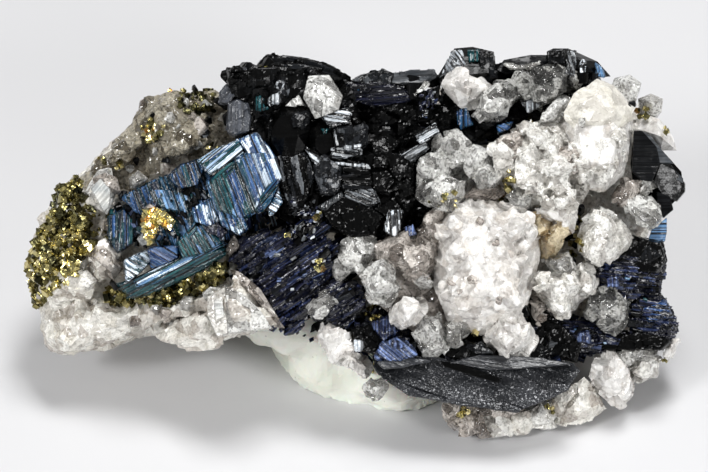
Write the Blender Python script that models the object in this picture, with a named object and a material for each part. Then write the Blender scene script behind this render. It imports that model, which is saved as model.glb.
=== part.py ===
"""Vivianite with quartz and pyrite: a hand specimen on a foot of white putty.

The display face leans back and faces -Y. Places on it are given in millimetres as
(across, up, lift): across to the right, up along the leaning face, and lift out of it,
measured from a shallow dome that the crystals grow on. The foot stands on z = 0.
"""
import math
import random

import bmesh
import bpy
from mathutils import Vector

# Driving dimensions, in millimetres
FACE_LEAN = math.radians(35.0)
FACE_CENTRE_HEIGHT = 8.7
EYE_DISTANCE = 239.0
DOME_HEIGHT = 5.4
DOME_HALF_WIDTH = 23.0
DOME_HALF_HEIGHT = 16.5
DOME_MIDDLE_UP = -1.0
BACK_DEPTH = 9.0
UNDERSIDE_HEIGHT = 2.2
FLOOR_CLEARANCE = 0.25
FOOT_RADIUS_X = 6.2
FOOT_RADIUS_Y = 7.4
GAP = 0.32
SMALLEST_EDGE = 0.004
FLAT_ANGLES = (0.006, 0.004, 0.002, 0.001, 0.0005, 0.0)

# Unit directions of the display face
ACROSS = Vector((1.0, 0.0, 0.0))
UP = Vector((0.0, math.sin(FACE_LEAN), math.cos(FACE_LEAN)))
OUT = Vector((0.0, -math.cos(FACE_LEAN), math.sin(FACE_LEAN)))
FACE_CENTRE = Vector((0.0, 0.0, FACE_CENTRE_HEIGHT))

MATERIALS = {
    "quartz_rock": ((0.62, 0.57, 0.52), 0.45, 0.0),
    "clear_quartz": ((0.60, 0.59, 0.57), 0.15, 0.0),
    "milky_quartz": ((0.83, 0.81, 0.79), 0.35, 0.0),
    "blue_vivianite": ((0.05, 0.13, 0.28), 0.18, 0.3),
    "dark_vivianite": ((0.012, 0.014, 0.022), 0.2, 0.0),
    "pyrite": ((0.45, 0.36, 0.12), 0.3, 1.0),
    "putty": ((0.82, 0.83, 0.76), 0.8, 0.0),
}


def clear_scene():
    for item in list(bpy.data.objects):
        bpy.data.objects.remove(item, do_unlink=True)


def new_collection(name):
    group = bpy.data.collections.new(name)
    bpy.context.scene.collection.children.link(group)
    return group


def dome(across, up):
    """Height of the growth surface above the plane of the display face."""
    side = across / DOME_HALF_WIDTH
    rise = (up - DOME_MIDDLE_UP) / DOME_HALF_HEIGHT
    return DOME_HEIGHT * (1.0 - side * side - rise * rise)


def at_depth(across, up, depth):
    """A point that is seen at (across, up) and stands depth out of the display face."""
    nearness = 1.0 - depth / EYE_DISTANCE
    return FACE_CENTRE + ACROSS * across * nearness + UP * up * nearness + OUT * depth


def on_dome(across, up, lift):
    return at_depth(across, up, dome(across, up) + lift)


# Convex solids

def drop_loose(mesh):
    loose = [vert for vert in mesh.verts if not vert.link_faces]
    bmesh.ops.delete(mesh, geom=loose, context="VERTS")


def hull(points):
    mesh = bmesh.new()
    for point in points:
        mesh.verts.new(point)
    bmesh.ops.convex_hull(mesh, input=mesh.verts[:])
    drop_loose(mesh)
    bmesh.ops.recalc_face_normals(mesh, faces=mesh.faces[:])
    return mesh


def slice_off(mesh, point, normal):
    """Cut away what lies beyond the plane and close the cut."""
    everything = mesh.verts[:] + mesh.edges[:] + mesh.faces[:]
    cut = bmesh.ops.bisect_plane(mesh, geom=everything, plane_co=point, plane_no=normal,
                                 clear_outer=True, dist=SMALLEST_EDGE / 4.0)
    rim = [item for item in cut["geom_cut"] if isinstance(item, bmesh.types.BMEdge)]
    bmesh.ops.holes_fill(mesh, edges=rim)


def between_planes(centre, planes, reach):
    """The convex solid around centre that lies inside every plane."""
    mesh = bmesh.new()
    bmesh.ops.create_cube(mesh, size=reach * 2.0)
    bmesh.ops.translate(mesh, verts=mesh.verts, vec=centre)
    for point, normal in planes:
        slice_off(mesh, point, normal)
        if not all(edge.is_manifold for edge in mesh.edges):
            mesh = hull([vert.co.copy() for vert in mesh.verts])
    bmesh.ops.remove_doubles(mesh, verts=mesh.verts[:], dist=SMALLEST_EDGE)
    return hull([vert.co.copy() for vert in mesh.verts])


def grown(solid, margin):
    """The same convex solid with every face moved out by the margin."""
    centre = sum((vert.co for vert in solid.verts), Vector()) / len(solid.verts)
    reach = max((vert.co - centre).length for vert in solid.verts) * 1.5 + margin * 4.0
    planes = []
    for face in solid.faces:
        if face.calc_area() > SMALLEST_EDGE * SMALLEST_EDGE:
            planes.append((face.calc_center_median() + face.normal * margin, face.normal))
    return between_planes(centre, planes, reach)


# Shapes that crystals are made from

def shard(outline, table, rise, depth=2.0, rim=0.0, shrink=0.72):
    """A crystal seen as the outline, with a raised table and a narrower root behind."""
    middle_across = sum(point[0] for point in outline) / len(outline)
    middle_up = sum(point[1] for point in outline) / len(outline)
    points = [on_dome(across, up, rim) for across, up in outline]
    for point in table:
        lift = point[2] if len(point) > 2 else rise
        points.append(on_dome(point[0], point[1], lift))
    for across, up in outline[::2]:
        inner_across = middle_across + (across - middle_across) * shrink
        inner_up = middle_up + (up - middle_up) * shrink
        points.append(on_dome(inner_across, inner_up, rim - depth))
    return hull(points)


def quartz(root, tip, radius, spin=0.0, seed=0):
    """A six-sided quartz prism from root to tip, with an uneven end of three faces."""
    chance = random.Random(seed * 7919 + 13)
    low = on_dome(*root)
    high = on_dome(*tip)
    axis = (high - low).normalized()
    side = axis.orthogonal().normalized()
    other = axis.cross(side)
    slope = math.radians(52.0)
    planes = [(low, -axis)]
    for number in range(6):
        angle = spin + number * math.pi / 3.0
        outward = side * math.cos(angle) + other * math.sin(angle)
        size = radius * (0.85 if number % 3 == 0 else 1.0) * chance.uniform(0.92, 1.08)
        planes.append((low + outward * size, outward))
        if number % 2 == 0:
            tilted = outward * math.sin(slope) + axis * math.cos(slope)
            sink = radius * chance.uniform(0.0, 0.45)
            planes.append((high - axis * sink, tilted))
    reach = (high - low).length + radius * 3.0
    return between_planes((low + high) / 2.0, planes, reach)


def blade(root, tip, width, thickness, twist=0.0, slant=0.5):
    """A flat vivianite lath from root to tip with slanted ends."""
    low = on_dome(*root)
    high = on_dome(*tip)
    axis = (high - low).normalized()
    flat = (OUT - axis * OUT.dot(axis)).normalized()
    edge = axis.cross(flat)
    face = flat * math.cos(twist) + edge * math.sin(twist)
    edge = axis.cross(face)
    middle = (low + high) / 2.0
    planes = []
    for sign in (-1.0, 1.0):
        planes.append((middle + face * sign * thickness / 2.0, face * sign))
        planes.append((middle + edge * sign * width / 2.0, edge * sign))
        shoulder = (face * 0.8 + edge * sign).normalized()
        planes.append((middle + edge * sign * width * 0.42 + face * thickness * 0.42, shoulder))
    planes.append((high, (axis + edge * slant).normalized()))
    planes.append((low, (edge * slant * 0.5 - axis).normalized()))
    return between_planes(middle, planes, (high - low).length + width)


def grain(across, up, lift, size, seed):
    """A small pyrite crystal: an uneven cube, turned at random."""
    chance = random.Random(seed * 31 + 7)
    centre = on_dome(across, up, lift)
    turn = Vector((chance.uniform(-1, 1), chance.uniform(-1, 1), chance.uniform(-1, 1)))
    first = turn.normalized()
    second = first.orthogonal().normalized()
    third = first.cross(second)
    planes = []
    for axis in (first, second, third):
        for sign in (-1.0, 1.0):
            reach = size * chance.uniform(0.85, 1.1)
            planes.append((centre + axis * sign * reach, axis * sign))
    return between_planes(centre, planes, size * 3.0)


# Joining and carving

def scratch_object(mesh, name):
    data = bpy.data.meshes.new(name)
    mesh.to_mesh(data)
    item = bpy.data.objects.new(name, data)
    CUTTERS.objects.link(item)
    item.hide_render = True
    item.display_type = "WIRE"
    return item


def combine(first, others, operation):
    """The first solid joined with, or cut by, each of the others in turn."""
    target = scratch_object(first, "target")
    tools = [scratch_object(solid, "tool") for solid in others]
    for tool in tools:
        step = target.modifiers.new(operation.lower(), "BOOLEAN")
        step.operation = operation
        step.solver = "MANIFOLD"
        step.object = tool
    bpy.context.view_layer.update()
    shape = target.evaluated_get(bpy.context.evaluated_depsgraph_get())
    result = bmesh.new()
    result.from_mesh(shape.data)
    for item in [target] + tools:
        bpy.data.objects.remove(item, do_unlink=True)
    return result


def islands(mesh):
    waiting = set(mesh.verts)
    while waiting:
        start = waiting.pop()
        island = {start}
        edge_of_island = [start]
        while edge_of_island:
            vert = edge_of_island.pop()
            for edge in vert.link_edges:
                other = edge.other_vert(vert)
                if other not in island:
                    island.add(other)
                    edge_of_island.append(other)
        waiting -= island
        yield island


def keep_largest(mesh):
    def size(island):
        spread = [max(v.co[i] for v in island) - min(v.co[i] for v in island) for i in range(3)]
        return spread[0] * spread[1] * spread[2]

    groups = sorted(islands(mesh), key=size)
    for island in groups[:-1]:
        bmesh.ops.delete(mesh, geom=list(island), context="VERTS")


def near(first, second):
    """Whether the boxes around two solids come within the gap of each other."""
    for axis in range(3):
        if min(v.co[axis] for v in first.verts) > max(v.co[axis] for v in second.verts) + GAP:
            return False
        if min(v.co[axis] for v in second.verts) > max(v.co[axis] for v in first.verts) + GAP:
            return False
    return True


def in_triangles(mesh):
    """The mesh with flat areas merged and then split into triangles, in the first way that stays closed."""
    for angle in FLAT_ANGLES:
        for method in ("BEAUTY", "EAR_CLIP"):
            trial = mesh.copy()
            bmesh.ops.dissolve_limit(trial, angle_limit=angle, verts=trial.verts[:], edges=trial.edges[:])
            bmesh.ops.triangulate(trial, faces=trial.faces[:], ngon_method=method)
            if all(len(edge.link_faces) == 2 for edge in trial.edges):
                return trial
    return trial


def finish(mesh, name, material):
    mesh = in_triangles(mesh)
    bmesh.ops.scale(mesh, vec=(0.001, 0.001, 0.001), verts=mesh.verts)
    data = bpy.data.meshes.new(name)
    mesh.to_mesh(data)
    data.materials.append(MATERIAL[material])
    item = bpy.data.objects.new(name, data)
    SPECIMEN.objects.link(item)


class Cluster:
    """Builds nodes in order: each one is carved by the solids that came before it."""

    def __init__(self):
        self.placed = []

    def add(self, name, material, solids, pockets=None):
        """Pockets are the solids that later nodes are carved by; by default the grown ones."""
        body = combine(solids[0], solids[1:], "UNION")
        cutters = [solid for solid in self.placed if near(solid, body)]
        body = combine(body, cutters, "DIFFERENCE")
        keep_largest(body)
        finish(body, name, material)
        if pockets is None:
            pockets = [grown(solid, GAP) for solid in solids]
        self.placed.extend(pockets)


def make_materials():
    made = {}
    for name, (colour, roughness, metallic) in MATERIALS.items():
        material = bpy.data.materials.new(name)
        material.use_nodes = True
        shader = material.node_tree.nodes["Principled BSDF"]
        shader.inputs["Base Color"].default_value = (*colour, 1.0)
        shader.inputs["Roughness"].default_value = roughness
        shader.inputs["Metallic"].default_value = metallic
        made[name] = material
    return made


# Quartz

def above_floor(solids):
    """The solids cut a little above the floor, so that only the foot stands on it."""
    for solid in solids:
        slice_off(solid, Vector((0.0, 0.0, FLOOR_CLEARANCE)), Vector((0.0, 0.0, -1.0)))
    return solids


def hexagonal_crystal():
    outline = [(-3.1, 8.4), (-2.8, 9.75), (-1.5, 9.8), (-0.65, 8.5), (-0.95, 7.6), (-2.35, 7.1)]
    return [shard(outline, [(-2.4, 8.6), (-1.9, 9.2), (-1.5, 8.1), (-2.3, 7.8)], 1.7, 2.4, 0.4)]


def milky_cluster():
    """A bumpy mound of grown-together crystals and the grey ones at its edge."""
    mound = [(4.9, 0.9), (6.0, 1.9), (8.4, 2.2), (10.3, 1.9), (11.5, 0.4), (11.3, -1.5),
             (10.6, -4.0), (10.2, -5.6), (7.7, -6.1), (5.6, -5.2), (4.8, -3.0), (5.0, -0.9)]
    solids = [shard(mound, [(6.4, 0.6), (9.3, 0.8), (9.6, -3.0), (7.0, -3.8)], 2.6, 3.4, 0.4)]
    chance = random.Random(41)
    for row in range(3):
        for column in range(3):
            across = 6.4 + column * 1.7 + chance.uniform(-0.3, 0.3)
            up = 0.6 - row * 2.0 + chance.uniform(-0.3, 0.3)
            lean = chance.uniform(-0.5, 0.5)
            drop = chance.uniform(-0.5, 0.5)
            solids.append(quartz((across, up, 0.5), (across + lean, up + drop, 3.4),
                                 chance.uniform(0.95, 1.25), chance.uniform(0, 1), row * 3 + column))
    ledge = [(1.2, -1.8), (5.4, -1.0), (6.4, -5.4), (4.6, -6.6), (2.8, -5.2), (1.0, -3.8)]
    solids.append(shard(ledge, [], 0.0, 1.6, -0.1))
    edge_crystals = [
        ([(1.5, -0.6), (2.0, -0.3), (4.0, 0.1), (5.2, -0.2), (5.2, -1.7), (4.2, -3.4), (2.9, -2.6)],
         [(3.0, -1.2), (4.4, -0.9), (3.8, -2.2)], 2.2),
        ([(0.3, -2.6), (1.1, -1.7), (1.9, -1.3), (2.6, -2.0), (3.1, -3.3), (2.2, -4.2), (1.0, -4.2)],
         [(1.5, -2.2), (2.2, -2.9), (1.2, -3.3)], 2.7),
        ([(2.4, -4.3), (3.0, -3.6), (3.9, -3.4), (4.3, -4.5), (3.5, -5.5), (2.8, -5.9), (2.3, -5.2)],
         [(3.0, -4.1), (3.9, -4.3), (3.3, -5.0)], 3.1),
        ([(3.4, -5.8), (4.0, -4.9), (5.2, -4.7), (5.6, -5.9), (5.5, -6.8), (5.0, -7.3), (4.1, -7.4)],
         [(4.4, -6.1)], 3.6),
        ([(5.4, -5.2), (7.6, -5.0), (7.0, -6.2), (6.0, -6.8), (5.5, -6.5)], [(6.2, -5.7)], 2.6),
        ([(7.8, -6.1), (8.8, -4.4), (10.3, -4.8), (11.1, -6.3), (10.3, -7.0), (9.9, -7.9), (9.0, -7.9)],
         [(8.9, -5.9), (9.9, -6.0), (9.4, -7.0)], 2.5),
    ]
    for outline, table, rise in edge_crystals:
        solids.append(shard(outline, table, rise, 1.6, 0.7))
    return solids


def pale_crystals_beside_cluster():
    lump = [(-1.0, -1.8), (-0.6, -0.4), (0.0, 0.1), (1.2, -0.3), (1.4, -0.8), (0.8, -1.6), (0.0, -2.1)]
    return [shard(lump, [(-0.2, -0.6), (0.7, -0.8), (0.2, -1.3)], 1.5, 1.5, 0.2)]


def upper_milky_quartz():
    big = [(12.6, 7.5), (13.2, 8.3), (14.5, 9.3), (15.5, 9.3), (16.3, 8.7), (17.0, 7.5),
           (16.9, 5.6), (16.5, 3.8), (15.2, 2.6), (13.2, 3.0), (12.2, 5.4)]
    lower = [(8.4, 4.8), (8.5, 5.8), (10.6, 7.0), (12.4, 7.4), (13.8, 6.0), (14.2, 4.0), (13.8, 2.0),
             (12.8, 1.1), (11.0, 1.6), (9.3, 3.0)]
    solids = [shard(big, [(13.6, 7.4), (15.4, 8.0), (16.0, 6.0), (15.6, 4.4), (13.9, 4.6)], 3.0, 3.5, 0.2),
              shard(lower, [(9.8, 5.2), (12.0, 6.0), (12.6, 3.4), (11.0, 3.0)], 2.3, 3.0, 0.2)]
    chance = random.Random(57)
    spots = [(9.3, 4.6), (10.6, 5.9), (11.8, 4.7), (10.4, 3.2), (12.4, 2.3), (13.4, 3.8)]
    for number, (across, up) in enumerate(spots):
        tip = (across + chance.uniform(-0.6, 0.6), up + chance.uniform(-0.5, 0.6), 3.2)
        solids.append(quartz((across, up, 0.4), tip, chance.uniform(0.8, 1.15),
                             chance.uniform(0, 1), 60 + number))
    return solids


def grey_quartz_group():
    """Clear grey crystals between the black hollow and the milky masses."""
    return [
        quartz((5.6, 3.4, -1.0), (4.1, 4.6, 2.3), 1.05, 0.2, 101),
        quartz((6.6, 4.4, -1.0), (5.8, 5.7, 2.5), 1.15, 0.6, 102),
        quartz((6.4, 2.9, -1.0), (5.3, 2.5, 2.6), 1.1, 0.1, 103),
        quartz((7.8, 4.0, -1.0), (7.5, 5.0, 2.5), 0.95, 0.4, 104),
        shard([(6.4, 2.3), (7.3, 3.1), (8.9, 3.3), (9.3, 2.6), (8.6, 2.1), (7.2, 2.2)],
              [(7.6, 2.8), (8.7, 2.9)], 2.0, 2.0, 0.2),
        quartz((4.9, 2.6, -1.0), (4.5, 2.9, 1.8), 0.95, 0.3, 105),
    ]


def upper_edge_quartz():
    creamy = [(5.2, 9.2), (6.9, 10.5), (7.3, 9.7), (8.4, 9.0), (7.2, 7.9), (6.3, 7.8)]
    return [
        shard(creamy, [(6.3, 9.1), (7.2, 9.0), (6.6, 8.4)], 1.9, 2.2, 0.2),
        quartz((8.6, 8.3, -1.2), (8.3, 7.7, 1.9), 1.0, 0.3, 111),
        quartz((9.2, 8.6, -1.2), (9.3, 8.8, 1.7), 0.95, 0.1, 112),
        quartz((10.4, 9.0, -1.2), (10.2, 9.3, 1.9), 1.05, 0.5, 113),
        quartz((11.8, 9.3, -1.2), (11.9, 9.4, 1.9), 1.1, 0.2, 114),
        quartz((11.4, 8.6, -1.2), (11.5, 8.7, 1.9), 0.9, 0.7, 115),
        quartz((13.2, 9.1, -1.4), (13.2, 9.3, 0.9), 0.65, 0.4, 116),
    ]


def corner_quartz():
    """Small crystals on the upper right corner, beside the large milky quartz."""
    return [
        quartz((16.5, 8.6, -2.0), (16.5, 9.2, 0.9), 0.85, 0.3, 121),
        quartz((17.9, 7.6, -2.4), (18.1, 8.1, 0.5), 0.75, 0.6, 122),
        shard([(17.2, 6.6), (17.7, 7.4), (18.6, 7.1), (19.4, 6.0), (19.6, 5.2), (18.6, 5.2), (18.0, 5.9)],
              [(18.1, 6.6), (18.8, 5.9)], 1.0, 2.4, -0.4),
    ]


def right_clear_block():
    block = [(16.5, 2.1), (18.1, 2.65), (18.7, 1.9), (18.8, 1.1), (18.0, 0.45), (17.2, 0.55)]
    return [shard(block, [(17.1, 1.8), (18.2, 2.0), (18.3, 1.1), (17.4, 0.9)], 2.6, 2.4, 0.9)]


def right_pale_lump():
    lump = [(13.6, 0.0), (14.2, 1.9), (15.0, 2.2), (15.8, 1.8), (16.5, 0.6), (17.0, -0.3), (16.6, -0.7),
            (15.8, -1.6), (15.2, -2.0), (14.3, -1.8), (13.7, -1.0)]
    return [shard(lump, [(14.6, 1.0), (15.4, 0.9), (15.6, -0.4), (14.6, -1.0)], 2.3, 2.4, 0.3)]


def star_quartz():
    star = [(10.8, -2.9), (11.4, -2.1), (12.6, -2.0), (13.5, -2.1), (13.9, -2.8), (13.5, -4.5),
            (12.7, -5.0), (11.9, -4.6), (11.3, -3.6)]
    plate = [(13.7, -1.9), (14.2, -1.7), (14.6, -2.8), (14.3, -3.5), (13.4, -4.2), (13.2, -3.4)]
    return [
        shard(star, [(11.9, -2.9), (12.9, -2.8), (12.6, -3.9)], 2.3, 2.0, 0.4),
        quartz((12.0, -3.0, 0.0), (11.3, -2.6, 2.6), 0.7, 0.2, 131),
        quartz((12.8, -3.4, 0.0), (13.2, -2.6, 2.6), 0.75, 0.5, 132),
        shard(plate, [(14.0, -2.6)], 1.7, 1.6, 0.3),
    ]


def brown_crystal():
    outline = [(10.9, -3.2), (11.3, -3.4), (11.9, -4.6), (12.4, -5.0), (11.2, -5.5), (10.7, -4.9),
               (10.6, -3.9)]
    return [shard(outline, [(11.2, -4.2), (11.4, -4.9)], 1.1, 1.6, 0.2)]


def grey_hexagon():
    outline = [(13.9, -4.7), (14.4, -3.6), (15.2, -3.2), (16.4, -3.3), (17.0, -4.0), (17.1, -4.7),
               (16.6, -5.6), (15.6, -6.0), (14.7, -5.7)]
    return [shard(outline, [(14.8, -4.2), (16.0, -4.1), (16.2, -4.9), (15.0, -5.0)], 2.2, 2.2, 0.6)]


def corner_pale_quartz():
    big = [(14.3, -7.0), (15.0, -6.9), (16.1, -7.3), (16.7, -8.3), (17.0, -9.8), (16.2, -10.5),
           (15.3, -10.4), (14.4, -9.3)]
    pink = [(12.2, -10.0), (13.2, -9.0), (14.2, -8.6), (14.5, -9.4), (15.2, -10.3), (15.3, -11.0),
            (14.0, -11.5), (12.9, -11.3)]
    green = [(16.4, -7.0), (17.5, -7.0), (18.3, -7.9), (17.4, -8.4), (16.7, -8.0)]
    white = [(18.9, -6.5), (19.6, -6.0), (19.9, -6.3), (19.6, -7.0), (19.0, -7.7), (18.6, -7.6)]
    ledge = [(14.6, -7.2), (17.0, -6.8), (19.3, -6.4), (19.2, -7.4), (17.4, -8.3), (15.2, -9.4)]
    return above_floor([
        shard(ledge, [], 0.0, 1.8, -0.7),
        shard(big, [(14.9, -7.7), (15.9, -8.2), (15.9, -9.6)], 1.6, 2.6, 0.4),
        shard(pink, [(13.3, -9.9), (14.2, -9.6), (14.0, -10.7)], 1.2, 1.8, 0.2),
        shard(green, [(17.2, -7.5)], 0.9, 2.6, 0.1),
        shard(white, [(19.2, -6.8)], 0.6, 3.0, -0.2),
    ])


def bottom_quartz():
    left = [(5.6, -10.6), (6.1, -11.7), (7.4, -12.4), (9.4, -12.3), (10.8, -11.9), (12.2, -11.2),
            (12.3, -10.2), (11.0, -9.6), (8.0, -9.6), (6.0, -9.8)]
    solids = [
        shard(left, [(7.0, -11.2), (9.4, -11.3), (11.2, -10.8)], 1.3, 2.6, 0.3),
        quartz((8.6, -10.4, -0.6), (8.8, -11.2, 1.7), 0.8, 0.3, 141),
        quartz((10.4, -10.4, -0.6), (10.6, -11.0, 1.6), 0.7, 0.6, 142),
        quartz((7.2, -10.7, -0.6), (6.7, -11.3, 1.4), 0.65, 0.1, 143),
    ]
    return above_floor(solids)


# Vivianite

def blue_crystal():
    plate = [(-9.2, 5.2), (-6.7, 6.3), (-5.2, 5.2), (-4.5, 3.7), (-5.9, 1.9), (-8.3, 2.0)]
    wing = [(-11.3, 3.9), (-10.3, 4.7), (-9.2, 5.2), (-8.3, 2.2), (-10.3, 1.9), (-11.3, 2.9)]
    middle = [(-12.8, 2.2), (-10.2, 2.9), (-6.4, 2.0), (-6.7, 0.9), (-8.8, -0.7), (-11.6, -0.7),
              (-14.6, 0.6), (-14.9, 1.6)]
    return [
        shard(plate, [(-8.6, 4.9), (-6.8, 5.7), (-5.2, 3.8), (-6.3, 2.5), (-8.0, 2.6)], 1.9, 2.6, 0.6),
        shard(wing, [(-10.6, 4.0), (-9.4, 4.5), (-8.9, 2.9), (-10.3, 2.6)], 1.0, 2.2, 0.1),
        shard(middle, [(-11.6, 1.8), (-8.0, 1.6), (-9.4, 0.0), (-12.6, 0.5)], 0.9, 2.4, -0.2),
        blade((-13.6, 1.2, 0.3), (-9.6, 2.2, 1.2), 0.9, 0.8, 0.3),
        blade((-12.0, 0.4, 0.6), (-7.2, 1.2, 1.5), 1.0, 0.7, -0.3),
    ]


def blue_blade():
    outline = [(-14.9, -2.7), (-13.9, -1.2), (-12.6, -0.7), (-10.4, -0.9), (-8.4, -0.6), (-8.0, -0.9),
               (-10.1, -2.4), (-12.0, -3.4), (-14.1, -3.6)]
    return [shard(outline, [(-13.9, -1.9), (-12.6, -1.2), (-8.9, -0.9), (-10.3, -1.8), (-13.2, -2.8)],
                  1.7, 1.6, 0.6)]


def central_cluster():
    """Black blocks and round crystals around the dark hollow."""
    lilac = [(-8.4, 8.9), (-7.4, 9.9), (-6.5, 9.8), (-6.2, 8.0), (-6.3, 6.2), (-7.5, 5.9), (-8.3, 7.0)]
    crust = [(-6.0, 10.2), (-5.3, 10.9), (-4.3, 11.05), (-2.3, 10.6), (-1.2, 10.2), (-0.2, 9.6),
             (-2.0, 8.8), (-5.6, 8.8)]
    round_left = [(-4.9, 7.2), (-4.2, 7.9), (-3.0, 7.8), (-2.6, 6.6), (-3.0, 5.0), (-4.4, 4.6), (-5.0, 5.8)]
    round_right = [(-2.8, 6.6), (-2.2, 7.1), (-1.2, 6.8), (-1.2, 5.2), (-2.0, 4.6), (-2.7, 5.2)]
    top = [(0.2, 9.4), (0.9, 9.9), (1.8, 10.1), (2.5, 9.8), (2.9, 8.9), (1.5, 8.2), (0.2, 8.4)]
    top_right = [(2.4, 9.7), (4.1, 10.1), (4.8, 10.0), (5.0, 9.2), (4.2, 8.2), (3.3, 8.0), (2.5, 8.8)]
    silver = [(-1.3, 6.6), (-0.4, 7.1), (0.6, 6.8), (0.7, 5.5), (-0.2, 5.3), (-1.2, 5.4)]
    lower = [(-1.0, 5.0), (0.6, 5.0), (0.9, 4.0), (2.2, 3.3), (2.6, 2.2), (1.0, 1.8), (-1.2, 2.2),
             (-2.2, 3.2)]
    right = [(3.0, 5.2), (4.0, 6.3), (4.9, 7.0), (5.5, 5.6), (4.4, 4.7), (3.4, 4.3)]
    base = [(-7.6, 9.2), (-4.0, 9.8), (0.0, 9.2), (4.6, 9.0), (5.4, 7.2), (5.2, 3.4), (3.6, 0.2),
            (1.6, -0.2), (-0.8, 0.6), (-4.6, 1.6), (-5.9, 4.6), (-7.2, 6.8)]
    return [
        shard(base, [], 0.0, 2.6, -1.2, 0.85),
        shard(lilac, [(-7.6, 8.8), (-6.7, 8.9), (-6.7, 6.8), (-7.5, 6.8)], 1.3, 2.2, 0.1),
        shard(crust, [(-5.2, 9.9), (-3.0, 9.9), (-1.6, 9.4)], 0.6, 2.4, -0.5),
        shard(round_left, [(-4.2, 7.0), (-3.4, 6.9), (-3.5, 5.6), (-4.3, 5.6)], 1.5, 2.2, 0.2),
        shard(round_right, [(-2.1, 6.4), (-1.6, 6.0), (-2.1, 5.4)], 1.2, 1.9, 0.1),
        shard(top, [(0.9, 9.3), (2.0, 9.3), (1.5, 8.8)], 0.4, 2.4, -0.6),
        shard(top_right, [(3.3, 9.3), (4.3, 9.3), (3.6, 8.6)], 0.8, 2.4, -0.4),
        shard(silver, [(-0.9, 6.5), (0.3, 6.5), (0.3, 5.7), (-0.8, 5.7)], 1.5, 2.2, 0.6),
        shard(lower, [(-0.8, 4.3), (1.4, 3.3), (1.0, 2.4), (-1.2, 2.8)], 0.9, 2.4, -0.2),
        shard(right, [(4.2, 6.1), (4.7, 5.7), (3.9, 5.2)], 0.9, 2.2, -0.1),
        blade((-3.0, 7.4, 0.0), (-0.2, 7.5, 1.3), 0.8, 0.7, 0.2),
        blade((3.6, 7.2, -0.8), (4.9, 8.8, 0.9), 0.9, 0.6, -0.4),
        blade((2.2, 1.8, -1.2), (2.5, 0.3, 0.9), 1.0, 1.2, 0.1),
        blade((-5.2, 4.4, -1.2), (-3.0, 2.2, 0.5), 1.2, 1.6, 0.3),
        blade((-4.2, 2.2, -1.0), (-1.6, 1.0, 0.6), 1.2, 1.4, -0.2),
    ]


def indigo_mound():
    outline = [(-7.6, -1.0), (-7.2, -0.2), (-5.4, 0.2), (-3.4, 0.2), (-1.8, 0.1), (-0.9, -0.6),
               (-1.3, -2.2), (-2.4, -4.4), (-3.4, -6.0), (-4.2, -5.9), (-5.2, -4.4), (-6.6, -2.6)]
    solids = [shard(outline, [(-5.0, -1.0), (-2.6, -0.8), (-2.2, -1.8), (-4.2, -3.6)], 0.7, 2.4, -0.5)]
    for step in range(5):
        shift = step * 0.72
        root = (-5.3 + shift * 0.35, -0.8 - shift, 0.0)
        tip = (-2.2 + shift * 0.1, 0.6 - shift, 1.3)
        solids.append(blade(root, tip, 0.62, 1.1, 0.15))
    skirt = [(-2.4, -3.4), (-1.0, -2.4), (0.2, -2.8), (0.6, -4.2), (-0.4, -5.6), (-2.4, -5.0)]
    solids.append(shard(skirt, [(-1.6, -3.4), (-0.4, -3.6), (-1.2, -4.6)], 0.6, 2.2, -0.4))
    return solids


def lower_cluster():
    """Black and vivid blue crystals under the milky cluster, above the two blades."""
    blue = [(1.5, -7.3), (2.1, -6.3), (3.2, -6.4), (4.2, -7.3), (4.9, -7.9), (2.8, -8.0)]
    dark = [(0.2, -4.6), (1.6, -4.6), (2.5, -5.6), (3.4, -6.4), (1.6, -7.2), (0.2, -6.6), (-0.4, -5.4)]
    right = [(10.6, -5.2), (12.4, -5.2), (13.6, -5.6), (14.2, -6.6), (13.4, -7.4), (10.6, -7.4),
             (10.2, -6.6)]
    return [
        shard([(0.0, -5.0), (2.0, -4.8), (14.0, -5.4), (14.0, -7.2), (9.0, -8.0), (1.4, -7.6)], [], 0.0,
              2.2, -1.3, 0.85),
        shard(blue, [(2.4, -6.9), (3.4, -7.2)], 1.2, 2.2, 0.2),
        shard(dark, [(0.8, -5.4), (1.9, -6.0)], 0.2, 2.0, -0.6),
        shard(right, [(11.6, -6.0), (13.2, -6.2), (12.0, -6.8)], 0.4, 2.2, -0.4),
    ]


def left_blade():
    outline = [(1.2, -8.2), (1.5, -7.7), (2.6, -7.6), (5.4, -7.8), (8.6, -8.9), (8.9, -9.3), (8.0, -10.1),
               (6.4, -10.4), (4.0, -10.1), (2.2, -9.0)]
    table = [(2.2, -8.3), (5.3, -8.4), (7.8, -9.3), (5.4, -9.5), (3.2, -9.1)]
    return [shard(outline, table, 1.9, 1.6, 0.9)]


def right_blade():
    outline = [(5.6, -7.2), (9.2, -7.6), (12.5, -7.5), (13.7, -8.1), (13.4, -9.0), (12.0, -9.7),
               (10.8, -10.4), (9.6, -10.0), (8.9, -8.7)]
    return [shard(outline, [(7.4, -7.7), (11.8, -8.0), (12.8, -8.5), (10.6, -9.3)], 2.0, 1.4, 1.1)]


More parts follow.
